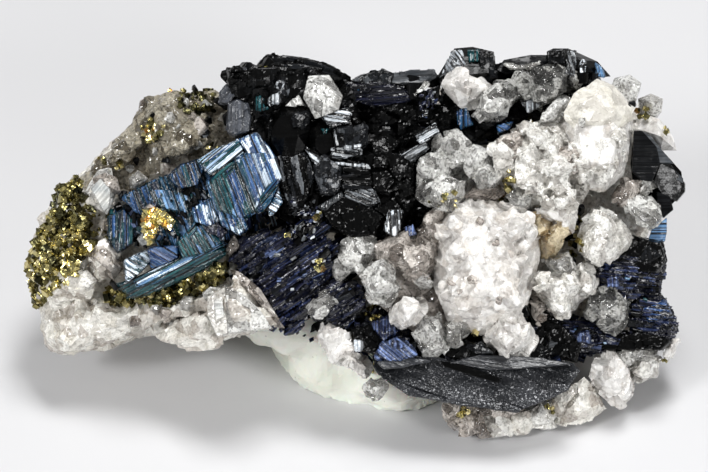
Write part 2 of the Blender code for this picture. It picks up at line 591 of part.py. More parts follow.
def upper_right_vivianite():
    block = [(5.0, 9.7), (5.9, 11.3), (7.3, 11.5), (8.5, 11.1), (8.7, 10.3), (8.4, 9.2), (6.6, 8.8)]
    bar = [(8.3, 10.4), (9.6, 10.75), (11.7, 10.9), (12.0, 10.2), (10.4, 9.6), (8.5, 9.6)]
    right = [(11.7, 10.8), (12.2, 11.3), (13.2, 11.3), (14.2, 11.0), (15.3, 10.2), (15.9, 9.5),
             (14.6, 8.8), (12.4, 9.0)]
    zone = [(5.4, 8.8), (9.0, 9.2), (12.6, 9.2), (11.4, 7.2), (8.8, 6.0), (6.6, 5.6), (5.2, 6.6)]
    strip = [(5.4, 9.4), (8.6, 10.2), (12.0, 10.4), (15.4, 9.3), (14.6, 8.2), (12.0, 8.2), (8.6, 8.2),
             (6.0, 8.0)]
    return [
        shard(zone, [], 0.0, 2.4, -1.1, 0.85),
        shard(strip, [], 0.0, 1.8, -2.0, 0.85),
        shard(block, [(6.4, 10.7), (7.4, 10.9), (8.0, 10.3), (6.8, 9.9)], 0.9, 2.4, -0.4),
        shard(bar, [(9.0, 10.4), (11.2, 10.6), (10.4, 10.1)], 0.1, 2.2, -0.8),
        shard(right, [(12.6, 10.6), (13.9, 10.3), (14.7, 9.8), (13.0, 9.8)], 0.9, 2.4, -0.4),
        blade((7.2, 6.4, -0.6), (7.8, 8.2, 0.9), 1.3, 0.9, 0.3),
    ]


def right_crystal():
    outline = [(17.0, 6.4), (17.6, 6.5), (18.2, 5.7), (19.2, 4.6), (19.9, 3.9), (20.15, 3.0), (20.0, 2.5),
               (19.3, 1.9), (18.6, 1.3), (17.0, 2.6), (16.8, 4.4)]
    foot = [(18.4, 2.0), (19.3, 1.9), (18.9, 1.0), (19.0, 0.4), (18.8, -0.4), (17.4, -0.3), (17.4, 1.0)]
    return [
        shard(outline, [(17.5, 5.4), (18.6, 4.3), (18.9, 3.1), (17.8, 2.9)], 1.0, 3.4, -0.4),
        shard(foot, [(18.3, 0.6)], 0.6, 3.0, -0.2),
    ]


def lower_right_vivianite():
    upper = [(14.7, -2.2), (15.6, -1.2), (17.6, -0.3), (18.6, -0.6), (18.9, -1.9), (18.6, -2.6),
             (18.6, -3.6), (16.8, -3.8), (14.8, -3.4)]
    lower = [(17.0, -4.0), (18.6, -3.5), (19.2, -4.4), (19.6, -5.6), (19.4, -6.2), (17.8, -6.7),
             (16.6, -6.5)]
    inner = [(12.6, -5.6), (14.2, -5.0), (15.4, -6.0), (16.8, -6.0), (16.4, -6.9), (13.8, -7.2),
             (12.8, -6.6)]
    return [
        shard(upper, [(15.8, -2.2), (17.6, -1.2), (18.1, -2.6), (16.2, -3.0)], 0.8, 3.0, -0.3),
        shard(lower, [(17.8, -4.6), (18.8, -5.0), (18.2, -6.0)], 1.0, 3.2, -0.3),
        shard(inner, [(13.8, -6.2), (15.8, -6.4)], 0.7, 2.4, -0.3),
        blade((17.2, -4.2, 0.2), (19.3, -3.9, 0.7), 0.8, 0.8, 0.2),
        blade((16.8, -5.6, 0.2), (19.5, -5.6, 0.6), 0.8, 0.8, -0.2),
    ]


# Pyrite

def pyrite_crust():
    outline = [(-19.7, -2.4), (-19.5, -0.8), (-18.6, 0.4), (-17.4, 0.9), (-16.2, 0.4), (-16.2, -0.8),
               (-17.0, -2.0), (-18.6, -3.0)]
    solids = [shard(outline, [(-19.0, -0.8), (-17.6, 0.0), (-17.2, -1.2), (-18.6, -2.0)], 0.5, 1.2, -0.2)]
    chance = random.Random(5)
    for number in range(6):
        across = -19.0 + 0.4 * number + chance.uniform(-0.3, 0.3)
        up = chance.uniform(-2.0, 0.2)
        solids.append(grain(across, up, 0.4, chance.uniform(0.4, 0.6), number))
    for number, (across, up) in enumerate([(-17.7, 1.4), (-17.0, 0.9), (-16.9, 3.1), (-17.3, 2.4)]):
        solids.append(grain(across, up, 0.3, 0.5, 40 + number))
    spine = [(-18.0, 0.2), (-17.9, 2.4), (-17.1, 3.4), (-16.7, 2.8), (-16.9, 0.4)]
    solids.append(shard(spine, [], 0.0, 1.0, -0.1))
    return solids


def pyrite_knob():
    core = [(-12.6, 0.6), (-12.3, 1.4), (-11.2, 1.2), (-11.5, 0.4), (-12.2, -0.4)]
    solids = [shard(core, [], 0.0, 1.0, 0.7)]
    spots = [(-12.3, 1.2), (-11.7, 1.3), (-11.3, 0.9), (-12.4, 0.5), (-12.2, -0.2)]
    for number, (across, up) in enumerate(spots):
        solids.append(grain(across, up, 1.2, 0.42, 80 + number))
    return solids


def pyrite_seam():
    """Grains in the shadow under the blue blade."""
    seam = [(-14.6, -3.3), (-12.0, -3.0), (-9.4, -1.9), (-8.2, -2.2), (-9.2, -3.2), (-11.4, -4.1),
            (-14.0, -4.0)]
    solids = [shard(seam, [], 0.0, 1.4, -0.4)]
    spots = [(-14.2, -3.6), (-13.0, -3.7), (-11.5, -3.4), (-10.2, -3.0), (-9.2, -2.7), (-8.4, -2.2)]
    for number, (across, up) in enumerate(spots):
        solids.append(grain(across, up, 0.15, 0.42, 90 + number))
    return solids


# Matrix and putty

MATRIX_OUTLINE = [
    (-20.0, -2.0), (-19.3, 0.7), (-18.3, 2.7), (-16.3, 4.2), (-14.1, 6.2), (-12.9, 8.2), (-11.0, 9.0),
    (-8.0, 8.8), (-6.0, 9.4), (-3.0, 9.3), (0.0, 8.4), (3.0, 8.4), (6.0, 9.4), (9.0, 9.6), (12.0, 9.9),
    (14.5, 9.4), (16.5, 8.4), (18.2, 7.0), (18.8, 4.6), (18.2, 1.0), (17.9, -2.0), (18.2, -5.0),
    (17.4, -7.4), (13.0, -9.4), (9.6, -10.2), (6.0, -9.8), (3.0, -9.0), (0.4, -7.4), (-2.5, -6.4),
    (-5.0, -5.6), (-7.8, -6.4), (-10.0, -6.9), (-12.6, -6.1), (-16.0, -6.9), (-17.4, -7.4), (-19.2, -5.6),
]


def cover(across):
    """How deep the matrix lies under the dome: bare at the left, deep under the clusters."""
    share = min(max((across + 9.0) / 3.0, 0.0), 1.0)
    return 1.1 + 2.6 * share


def matrix_ring(scale, share, jitter, seed):
    """The outline, scaled, at a share of the way from the front of the matrix to its back."""
    chance = random.Random(seed)
    ring = []
    for across, up in MATRIX_OUTLINE:
        far_across = across * scale + chance.uniform(-jitter, jitter)
        far_up = (up - 1.0) * scale + 1.0 + chance.uniform(-jitter, jitter)
        front = dome(far_across, far_up) - cover(far_across)
        depth = front * (1.0 - share) - BACK_DEPTH * share
        ring.append(at_depth(far_across, far_up, depth))
    return ring


def matrix_body():
    """A rocky lump: rings that follow the outline, skinned from the front to the back."""
    rings = [
        matrix_ring(0.45, 0.0, 0.3, 1),
        matrix_ring(0.90, 0.0, 0.2, 3),
        matrix_ring(1.00, 0.13, 0.0, 4),
        matrix_ring(0.97, 0.42, 0.3, 5),
        matrix_ring(0.82, 0.75, 0.4, 6),
        matrix_ring(0.50, 1.0, 0.5, 7),
    ]
    mesh = bmesh.new()
    loops = []
    for ring in rings:
        verts = [mesh.verts.new(point) for point in ring]
        loops.append([mesh.edges.new((verts[i], verts[i - 1])) for i in range(len(verts))])
    for first, second in zip(loops, loops[1:]):
        bmesh.ops.bridge_loops(mesh, edges=first + second)
    for loop in (loops[0], loops[-1]):
        cap = bmesh.ops.contextual_create(mesh, geom=loop)
        bmesh.ops.poke(mesh, faces=cap["faces"])
    bmesh.ops.recalc_face_normals(mesh, faces=mesh.faces[:])
    slice_off(mesh, Vector((0.0, 0.0, UNDERSIDE_HEIGHT)), Vector((0.0, 0.0, -1.0)))
    bmesh.ops.triangulate(mesh, faces=mesh.faces[:])
    return mesh


def matrix_crystals():
    """Quartz crystals that stand on the matrix at the left, and plain ones on the back."""
    upper_left = [(-13.3, 7.2), (-12.8, 8.1), (-11.2, 8.8), (-9.6, 8.6), (-8.6, 7.2), (-9.0, 5.4),
                  (-11.6, 4.6), (-12.9, 5.6)]
    striated = [(-16.9, 2.6), (-16.3, 3.2), (-14.9, 3.9), (-14.7, 2.6), (-15.0, 1.4), (-16.2, 1.4)]
    grey_pink = [(-16.5, -1.2), (-15.9, -0.3), (-15.0, -0.1), (-14.2, -1.0), (-13.4, -1.9), (-14.2, -2.4),
                 (-15.3, -2.7), (-16.2, -2.1)]
    smooth = [(-19.0, -2.7), (-17.6, -2.0), (-16.0, -2.1), (-15.6, -3.0), (-16.4, -3.8), (-18.6, -3.8)]
    pale = [(-8.8, -3.2), (-7.5, -3.1), (-6.1, -4.2), (-5.0, -5.6), (-6.0, -6.0), (-7.9, -6.0),
            (-9.0, -4.8)]
    brown = [(-7.8, -2.0), (-7.2, -2.3), (-5.8, -3.4), (-4.1, -5.9), (-4.9, -5.6), (-6.6, -3.8)]
    lower = [(-19.0, -5.6), (-18.4, -7.0), (-17.0, -7.4), (-16.1, -6.7), (-13.6, -6.0), (-13.8, -4.6),
             (-16.4, -4.0), (-18.9, -4.2)]
    solids = [
        shard(upper_left, [(-12.0, 7.6), (-10.6, 7.8), (-10.0, 6.2), (-11.8, 5.8)], 0.9, 2.0, -0.5),
        shard(striated, [(-16.0, 2.9), (-15.2, 3.1), (-15.1, 2.0), (-15.9, 1.9)], 1.6, 1.8, 0.3),
        shard(grey_pink, [(-15.6, -1.0), (-15.0, -0.9), (-14.6, -1.8), (-15.6, -1.9)], 1.6, 1.8, 0.3),
        shard(smooth, [(-17.8, -2.6), (-16.4, -2.5), (-16.4, -3.2), (-18.0, -3.4)], 0.8, 1.8, -0.2),
        shard(lower, [(-18.0, -5.4), (-15.6, -5.0), (-14.6, -5.4), (-17.0, -6.6)], 0.9, 2.0, -0.6),
        shard(pale, [(-7.7, -3.8), (-6.9, -4.0), (-6.2, -5.0), (-7.4, -5.4)], 2.6, 2.4, 0.9),
        shard(brown, [(-6.4, -3.2), (-4.8, -5.0)], 1.3, 1.6, 0.6),
        quartz((-14.3, 5.0, -1.4), (-13.6, 5.6, 0.6), 0.75, 0.1, 161),
        quartz((-14.0, 4.4, -1.4), (-16.3, 3.6, -0.1), 0.6, 0.5, 162),
        quartz((-13.2, 3.6, -1.0), (-13.5, 3.4, 1.1), 0.6, 0.2, 163),
    ]
    row = [(-13.2, -4.8), (-12.2, -4.5), (-11.1, -4.5), (-10.0, -4.4), (-9.0, -3.9)]
    for number, (across, up) in enumerate(row):
        root = (across, up, -1.0)
        solids.append(quartz(root, (across, up - 0.1, 1.0), 0.62, number * 0.4, 170 + number))
    return solids + back_crystals()


def back_crystals():
    """Short quartz crystals scattered over the hidden back."""
    chance = random.Random(83)
    solids = []
    for number in range(4):
        angle = 2.0 * math.pi * number / 4.0
        across = 12.5 * math.cos(angle) + chance.uniform(-1.5, 1.5)
        up = 2.0 + 3.4 * math.sin(angle) + chance.uniform(-0.8, 0.8)
        root = (across, up, -BACK_DEPTH * 0.7 - dome(across, up))
        tip = (across * 1.04, up + chance.uniform(-0.6, 1.0), -BACK_DEPTH * 1.12 - dome(across, up))
        solids.append(quartz(root, tip, chance.uniform(0.9, 1.7), chance.uniform(0, 1), 200 + number))
    return solids


def putty_foot(margin=0.0):
    """Soft lumps pressed under the specimen, flat where they stand."""
    lumps = [
        ((0.6, 1.4, 1.0), (FOOT_RADIUS_X, FOOT_RADIUS_Y, 4.6)),
        ((-2.6, 0.4, 4.2), (6.0, 5.4, 3.0)),
        ((2.8, -1.6, 1.2), (4.4, 5.4, 2.6)),
    ]
    solids = []
    for centre, radii in lumps:
        mesh = bmesh.new()
        bmesh.ops.create_icosphere(mesh, subdivisions=2, radius=1.0)
        bmesh.ops.scale(mesh, vec=[radius + margin for radius in radii], verts=mesh.verts)
        bmesh.ops.translate(mesh, vec=centre, verts=mesh.verts)
        slice_off(mesh, Vector((0.0, 0.0, 0.0)), Vector((0.0, 0.0, -1.0)))
        solids.append(hull([vert.co.copy() for vert in mesh.verts]))
    return solids


clear_scene()
SPECIMEN = new_collection("vivianite_specimen")
CUTTERS = new_collection("cutters")
MATERIAL = make_materials()
cluster = Cluster()
cluster.add("hexagonal_quartz_crystal", "milky_quartz", hexagonal_crystal())
cluster.add("milky_quartz_cluster", "milky_quartz", milky_cluster())
cluster.add("upper_milky_quartz", "milky_quartz", upper_milky_quartz())
cluster.add("grey_quartz_group", "clear_quartz", grey_quartz_group())
cluster.add("right_pale_quartz", "milky_quartz", right_pale_lump())
cluster.add("right_clear_quartz", "clear_quartz", right_clear_block())
cluster.add("star_quartz", "milky_quartz", star_quartz())
cluster.add("grey_hexagonal_quartz", "clear_quartz", grey_hexagon())
cluster.add("pale_quartz_lump", "milky_quartz", pale_crystals_beside_cluster())
cluster.add("upper_edge_quartz", "clear_quartz", upper_edge_quartz())
cluster.add("left_vivianite_blade", "dark_vivianite", left_blade())
cluster.add("right_vivianite_blade", "dark_vivianite", right_blade())
cluster.add("blue_vivianite_crystal", "blue_vivianite", blue_crystal())
cluster.add("blue_vivianite_blade", "blue_vivianite", blue_blade())
cluster.add("right_vivianite_crystal", "dark_vivianite", right_crystal())
cluster.add("central_vivianite_cluster", "dark_vivianite", central_cluster())
cluster.add("upper_right_vivianite", "dark_vivianite", upper_right_vivianite())
cluster.add("indigo_vivianite_mound", "dark_vivianite", indigo_mound())
cluster.add("lower_right_vivianite", "dark_vivianite", lower_right_vivianite())
cluster.add("lower_vivianite_cluster", "dark_vivianite", lower_cluster())
cluster.add("brown_quartz_crystal", "clear_quartz", brown_crystal())
cluster.add("corner_quartz", "clear_quartz", corner_quartz())
cluster.add("lower_corner_quartz", "milky_quartz", corner_pale_quartz())
cluster.add("bottom_quartz", "clear_quartz", bottom_quartz())
cluster.add("pyrite_knob", "pyrite", pyrite_knob())
cluster.add("pyrite_crust", "pyrite", pyrite_crust())
cluster.add("pyrite_seam", "pyrite", pyrite_seam())
cluster.add("mounting_putty", "putty", putty_foot(), putty_foot(GAP * 1.15))
cluster.add("quartz_matrix", "quartz_rock", [matrix_body()] + matrix_crystals(), [])
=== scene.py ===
"""Visual model of the vivianite specimen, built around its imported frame."""
import math
import random

import bmesh
import bpy
from mathutils import Matrix, Vector, noise
from mathutils.bvhtree import BVHTree


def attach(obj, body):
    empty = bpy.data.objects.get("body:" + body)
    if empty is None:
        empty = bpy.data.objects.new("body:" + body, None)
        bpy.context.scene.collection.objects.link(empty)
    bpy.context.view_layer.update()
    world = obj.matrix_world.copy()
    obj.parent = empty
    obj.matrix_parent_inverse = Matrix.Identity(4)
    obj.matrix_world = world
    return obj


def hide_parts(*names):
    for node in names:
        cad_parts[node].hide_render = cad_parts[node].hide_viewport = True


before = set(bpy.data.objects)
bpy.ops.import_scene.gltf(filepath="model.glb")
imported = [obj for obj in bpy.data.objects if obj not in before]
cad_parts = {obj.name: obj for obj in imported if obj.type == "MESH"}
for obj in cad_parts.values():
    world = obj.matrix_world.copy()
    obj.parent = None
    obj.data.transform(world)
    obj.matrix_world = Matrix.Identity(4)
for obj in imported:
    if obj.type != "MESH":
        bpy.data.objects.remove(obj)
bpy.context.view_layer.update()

# Millimetres in the script become metres when a piece is finished
MM = 0.001
FACE_LEAN = math.radians(35.0)
ACROSS = Vector((1.0, 0.0, 0.0))
UP = Vector((0.0, math.sin(FACE_LEAN), math.cos(FACE_LEAN)))
OUT = Vector((0.0, -math.cos(FACE_LEAN), math.sin(FACE_LEAN)))
FACE_CENTRE = Vector((0.0, 0.0, 8.7))
EYE_DISTANCE = 239.0


def dome(across, up):
    side = across / 23.0
    rise = (up + 1.0) / 16.5
    return 5.4 * (1.0 - side * side - rise * rise)


def at_depth(across, up, depth):
    nearness = 1.0 - depth / EYE_DISTANCE
    return FACE_CENTRE + ACROSS * across * nearness + UP * up * nearness + OUT * depth


def on_dome(across, up, lift):
    return at_depth(across, up, dome(across, up) + lift)


# Convex solids

def hull(points):
    mesh = bmesh.new()
    for point in points:
        mesh.verts.new(point)
    bmesh.ops.convex_hull(mesh, input=mesh.verts[:])
    loose = [vert for vert in mesh.verts if not vert.link_faces]
    bmesh.ops.delete(mesh, geom=loose, context="VERTS")
    bmesh.ops.recalc_face_normals(mesh, faces=mesh.faces[:])
    return mesh


def cut(mesh, point, normal):
    """The convex solid without what lies beyond the plane."""
    geometry = mesh.verts[:] + mesh.edges[:] + mesh.faces[:]
    bmesh.ops.bisect_plane(mesh, geom=geometry, plane_co=point, plane_no=normal, clear_outer=True)
    return hull([vert.co.copy() for vert in mesh.verts])


def middle_of(mesh):
    return sum((vert.co for vert in mesh.verts), Vector()) / len(mesh.verts)


def chipped(mesh, chance, count, bite):
    """The solid with some corners broken off."""
    centre = middle_of(mesh)
    for _ in range(count):
        mesh.verts.ensure_lookup_table()
        corner = mesh.verts[chance.randrange(len(mesh.verts))].co.copy()
        away = (corner - centre).normalized()
        away = (away + random_direction(chance) * 0.35).normalized()
        mesh = cut(mesh, corner - away * bite * chance.uniform(0.5, 1.5), away)
    return mesh


def random_direction(chance):
    while True:
        way = Vector((chance.uniform(-1, 1), chance.uniform(-1, 1), chance.uniform(-1, 1)))
        if 0.01 < way.length < 1.0:
            return way.normalized()


def shard(outline, table, rise, depth=2.0, rim=0.0, shrink=0.72):
    """A crystal seen as the outline, with a raised table and a narrower root behind."""
    across = sum(point[0] for point in outline) / len(outline)
    up = sum(point[1] for point in outline) / len(outline)
    points = [on_dome(point[0], point[1], rim) for point in outline]
    for point in table:
        points.append(on_dome(point[0], point[1], point[2] if len(point) > 2 else rise))
    for point in outline:
        points.append(on_dome(across + (point[0] - across) * shrink, up + (point[1] - up) * shrink,
                              rim - depth))
    return hull(points)


def plate(outline, lift, thickness, slope=(0.0, 0.0), shrink=0.9):
    """A tabular crystal whose front face is the outline, at a lift that slopes across it."""
    across = sum(point[0] for point in outline) / len(outline)
    up = sum(point[1] for point in outline) / len(outline)
    points = []
    for point in outline:
        rise = lift + slope[0] * (point[0] - across) + slope[1] * (point[1] - up)
        points.append(on_dome(point[0], point[1], rise))
        points.append(on_dome(across + (point[0] - across) * shrink, up + (point[1] - up) * shrink,
                              rise - thickness))
    return hull(points)


def facet(outline, lift, slope=(0.0, 0.0), depth=1.4, grow=1.14):
    """A crystal whose flat front face is the outline; its sides widen towards the back."""
    across = sum(point[0] for point in outline) / len(outline)
    up = sum(point[1] for point in outline) / len(outline)
    base = dome(across, up)
    points = []
    for point in outline:
        right, above = point[0] - across, point[1] - up
        rise = base + lift + slope[0] * right + slope[1] * above
        points.append(at_depth(point[0], point[1], rise))
        points.append(at_depth(across + right * grow, up + above * grow, rise - depth))
    return hull(points)


def box_between(low, high, width, thickness, twist=0.0, slant=0.0):
    """A lath from one point to another with bevelled shoulders and slanted ends."""
    axis = (high - low).normalized()
    flat = (OUT - axis * OUT.dot(axis)).normalized()
    edge = axis.cross(flat)
    face = flat * math.cos(twist) + edge * math.sin(twist)
    edge = axis.cross(face)
    points = []
    for end, sign in ((low, -1.0), (high, 1.0)):
        for side in (-1.0, 1.0):
            lean = axis * slant * side * width * 0.5
            points.append(end + edge * side * width * 0.5 + lean - face * thickness * 0.5)
            points.append(end + edge * side * width * 0.5 + lean + face * thickness * 0.28)
            points.append(end + edge * side * width * 0.34 + lean + face * thickness * 0.5)
    return hull(points)


def blade(root, tip, width, thickness, twist=0.0, slant=0.3):
    return box_between(on_dome(*root), on_dome(*tip), width, thickness, twist, slant)


def crystal(root, direction, radius, length, chance, sharpness=1.25):
    """A six-sided quartz prism with an uneven six-faced end."""
    axis = direction.normalized()
    side = axis.orthogonal().normalized()
    other = axis.cross(side)
    spin = chance.uniform(0.0, math.pi)
    ring = []
    for number in range(6):
        angle = spin + number * math.pi / 3.0 + chance.uniform(-0.08, 0.08)
        reach = radius * chance.uniform(0.82, 1.12)
        ring.append((side * math.cos(angle) + other * math.sin(angle)) * reach)
    off = side * chance.uniform(-0.25, 0.25) * radius + other * chance.uniform(-0.25, 0.25) * radius
    tip_height = radius * sharpness * chance.uniform(0.8, 1.15)
    points = []
    for number, corner in enumerate(ring):
        points.append(root + corner * 0.9)
        shoulder = length - tip_height * chance.uniform(0.75, 1.2)
        points.append(root + corner + axis * max(shoulder, length * 0.15))
    points.append(root + off + axis * length)
    points.append(root + off + (ring[0] - ring[3]) * chance.uniform(0.02, 0.2) + axis * length)
    return hull(points)


def quartz(root, tip, radius, seed):
    low = on_dome(*root)
    high = on_dome(*tip)
    return crystal(low, high - low, radius, (high - low).length, random.Random(seed))


def lump(centre, size, chance, stretch=None, count=11):
    """A random convex chip."""
    points = []
    for _ in range(count):
        way = random_direction(chance)
        if stretch is not None:
            way = way + stretch * way.dot(stretch)
        points.append(centre + way * size * chance.uniform(0.75, 1.1))
    return hull(points)


def slabs(solid, direction, pitch, chance, tilt=0.05, shift=0.04):
    """The solid cut into lamellae, each a little turned and moved."""
    direction = direction.normalized()
    low = min(vert.co.dot(direction) for vert in solid.verts)
    high = max(vert.co.dot(direction) for vert in solid.verts)
    made = []
    here = low
    while here < high - pitch * 0.3:
        step = pitch * chance.uniform(0.55, 1.6)
        there = here + step
        piece = solid.copy()
        if here > low:
            piece = cut(piece, direction * here, -direction)
        if there < high:
            piece = cut(piece, direction * there, direction)
        here = there
        if len(piece.verts) < 4:
            continue
        centre = middle_of(piece)
        turn = Matrix.Rotation(chance.gauss(0.0, tilt), 3, direction.cross(OUT).normalized())
        bmesh.ops.rotate(piece, cent=centre, matrix=turn, verts=piece.verts)
        push = OUT * chance.uniform(-shift, shift) * 2.0
        bmesh.ops.translate(piece, vec=push, verts=piece.verts)
        made.append(piece)
    return made


def softened(mesh, width):
    """Flat areas merged and sharp edges given a narrow bevel."""
    bmesh.ops.dissolve_limit(mesh, angle_limit=0.02, verts=mesh.verts[:], edges=mesh.edges[:])
    if width > 0.0:
        sharp = [edge for edge in mesh.edges if edge.is_manifold and edge.calc_face_angle(0.0) > 0.25]
        bmesh.ops.bevel(mesh, geom=sharp, offset=width, offset_type="OFFSET", segments=1,
                        profile=0.5, affect="EDGES", clamp_overlap=True)
    return mesh


class Piece:
    """Gathers closed solids into one mesh that replaces some nodes of the frame."""

    def __init__(self, name, slot, nodes, materials):
        self.name = name
        self.slot = slot
        self.nodes = nodes
        self.materials = materials
        self.mesh = bmesh.new()
        self.chance = random.Random(sum(ord(letter) * (place + 3) for place, letter in enumerate(name)))

    def add(self, solid, material=0, tone=None, axis=UP, bevel=0.035, spread=0.0):
        """Takes a solid over; its faces get the tone, each with its own difference up to the spread."""
        if len(solid.faces) < 4:
            return
        softened(solid, bevel)
        if tone is None:
            tone = self.chance.random()
        along = solid.verts.layers.float.new("along")
        shade = solid.loops.layers.float.new("tone")
        for vert in solid.verts:
            vert[along] = vert.co.dot(axis)
        for face in solid.faces:
            face.material_index = material
            own = min(1.0, max(0.0, tone + self.chance.uniform(-spread, spread)))
            for corner in face.loops:
                corner[shade] = own
        self.merge(solid)

    def merge(self, solid):
        data = bpy.data.meshes.new("solid")
        solid.to_mesh(data)
        self.mesh.from_mesh(data)
        bpy.data.meshes.remove(data)
        solid.free()

    def add_mass(self, solids, voxel, amount, material=0, tones=(0.0, 1.0), cell=0.6, way=UP, stretch=1.0,
                 buried=True):
        """Solids grown together, with a broken surface; patches drawn out along the way take the tones."""
        solid = displaced(even(gathered(solids), voxel), amount, buried)
        axis = way.cross(OUT).normalized()
        along = solid.verts.layers.float.new("along")
        shade = solid.loops.layers.float.new("tone")
        for vert in solid.verts:
            vert[along] = vert.co.dot(axis)
        for face in solid.faces:
            face.material_index = material
            face.smooth = False
            _, centres = noise.voronoi(squeezed(face.calc_center_median(), way, stretch) / cell)
            own = 0.5 + 0.5 * noise.cell(centres[0] * 71.0)
            if len(tones) > 2:
                own = tones[min(int(own * len(tones)), len(tones) - 1)]
            else:
                own = tones[0] + (tones[1] - tones[0]) * own
            for corner in face.loops:
                corner[shade] = own
        self.merge(solid)

    def add_all(self, solids, material=0, tones=None, axis=UP, bevel=0.02):
        for number, solid in enumerate(solids):
            tone = tones[number % len(tones)] if tones else None
            self.add(solid, material, tone, axis, bevel)

    def finish(self):
        print("PIECE", self.name, sum(len(face.verts) - 2 for face in self.mesh.faces))
        bmesh.ops.scale(self.mesh, vec=(MM, MM, MM), verts=self.mesh.verts)
        data = bpy.data.meshes.new(self.name)
        self.mesh.to_mesh(data)
        self.mesh.free()
        for material in self.materials:
            data.materials.append(MATERIAL[material])
        item = bpy.data.objects.new(self.name, data)
        bpy.context.scene.collection.objects.link(item)
        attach(item, "root")
        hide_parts(*self.nodes)
        return item


# Places on the frame's own surfaces

def surface_of(*names):
    """A search tree over some nodes of the frame, in millimetres."""
    mesh = bmesh.new()
    for name in names:
        mesh.from_mesh(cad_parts[name].data)
    bmesh.ops.scale(mesh, vec=(1000.0, 1000.0, 1000.0), verts=mesh.verts)
    return BVHTree.FromBMesh(mesh)


def seen_on(tree, across, up):
    """Where the line of sight at (across, up) first meets the surface."""
    start = at_depth(across, up, 30.0)
    way = (at_depth(across, up, -20.0) - start).normalized()
    point, normal, _, _ = tree.ray_cast(start, way)
    if point is None:
        return None
    if normal.dot(way) > 0.0:
        normal = -normal
    return point, normal


def inside(region, across, up):
    within = False
    for (x0, y0), (x1, y1) in zip(region, region[1:] + region[:1]):
        if (y0 > up) != (y1 > up) and across < (x1 - x0) * (up - y0) / (y1 - y0) + x0:
            within = not within
    return within


def spots(region, spacing, chance, jitter=0.45):
    """Uneven rows of places inside the region."""
    low = [min(point[i] for point in region) for i in range(2)]
    high = [max(point[i] for point in region) for i in range(2)]
    found = []
    row = 0
    up = low[1]
    while up < high[1]:
        across = low[0] + (spacing / 2.0 if row % 2 else 0.0)
        while across < high[0]:
            place = (across + chance.uniform(-jitter, jitter) * spacing,
                     up + chance.uniform(-jitter, jitter) * spacing)
            if inside(region, *place):
                found.append(place)
            across += spacing
        up += spacing * 0.87
        row += 1
    return found


ALL = surface_of(*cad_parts)


# Materials

MATERIAL = {}


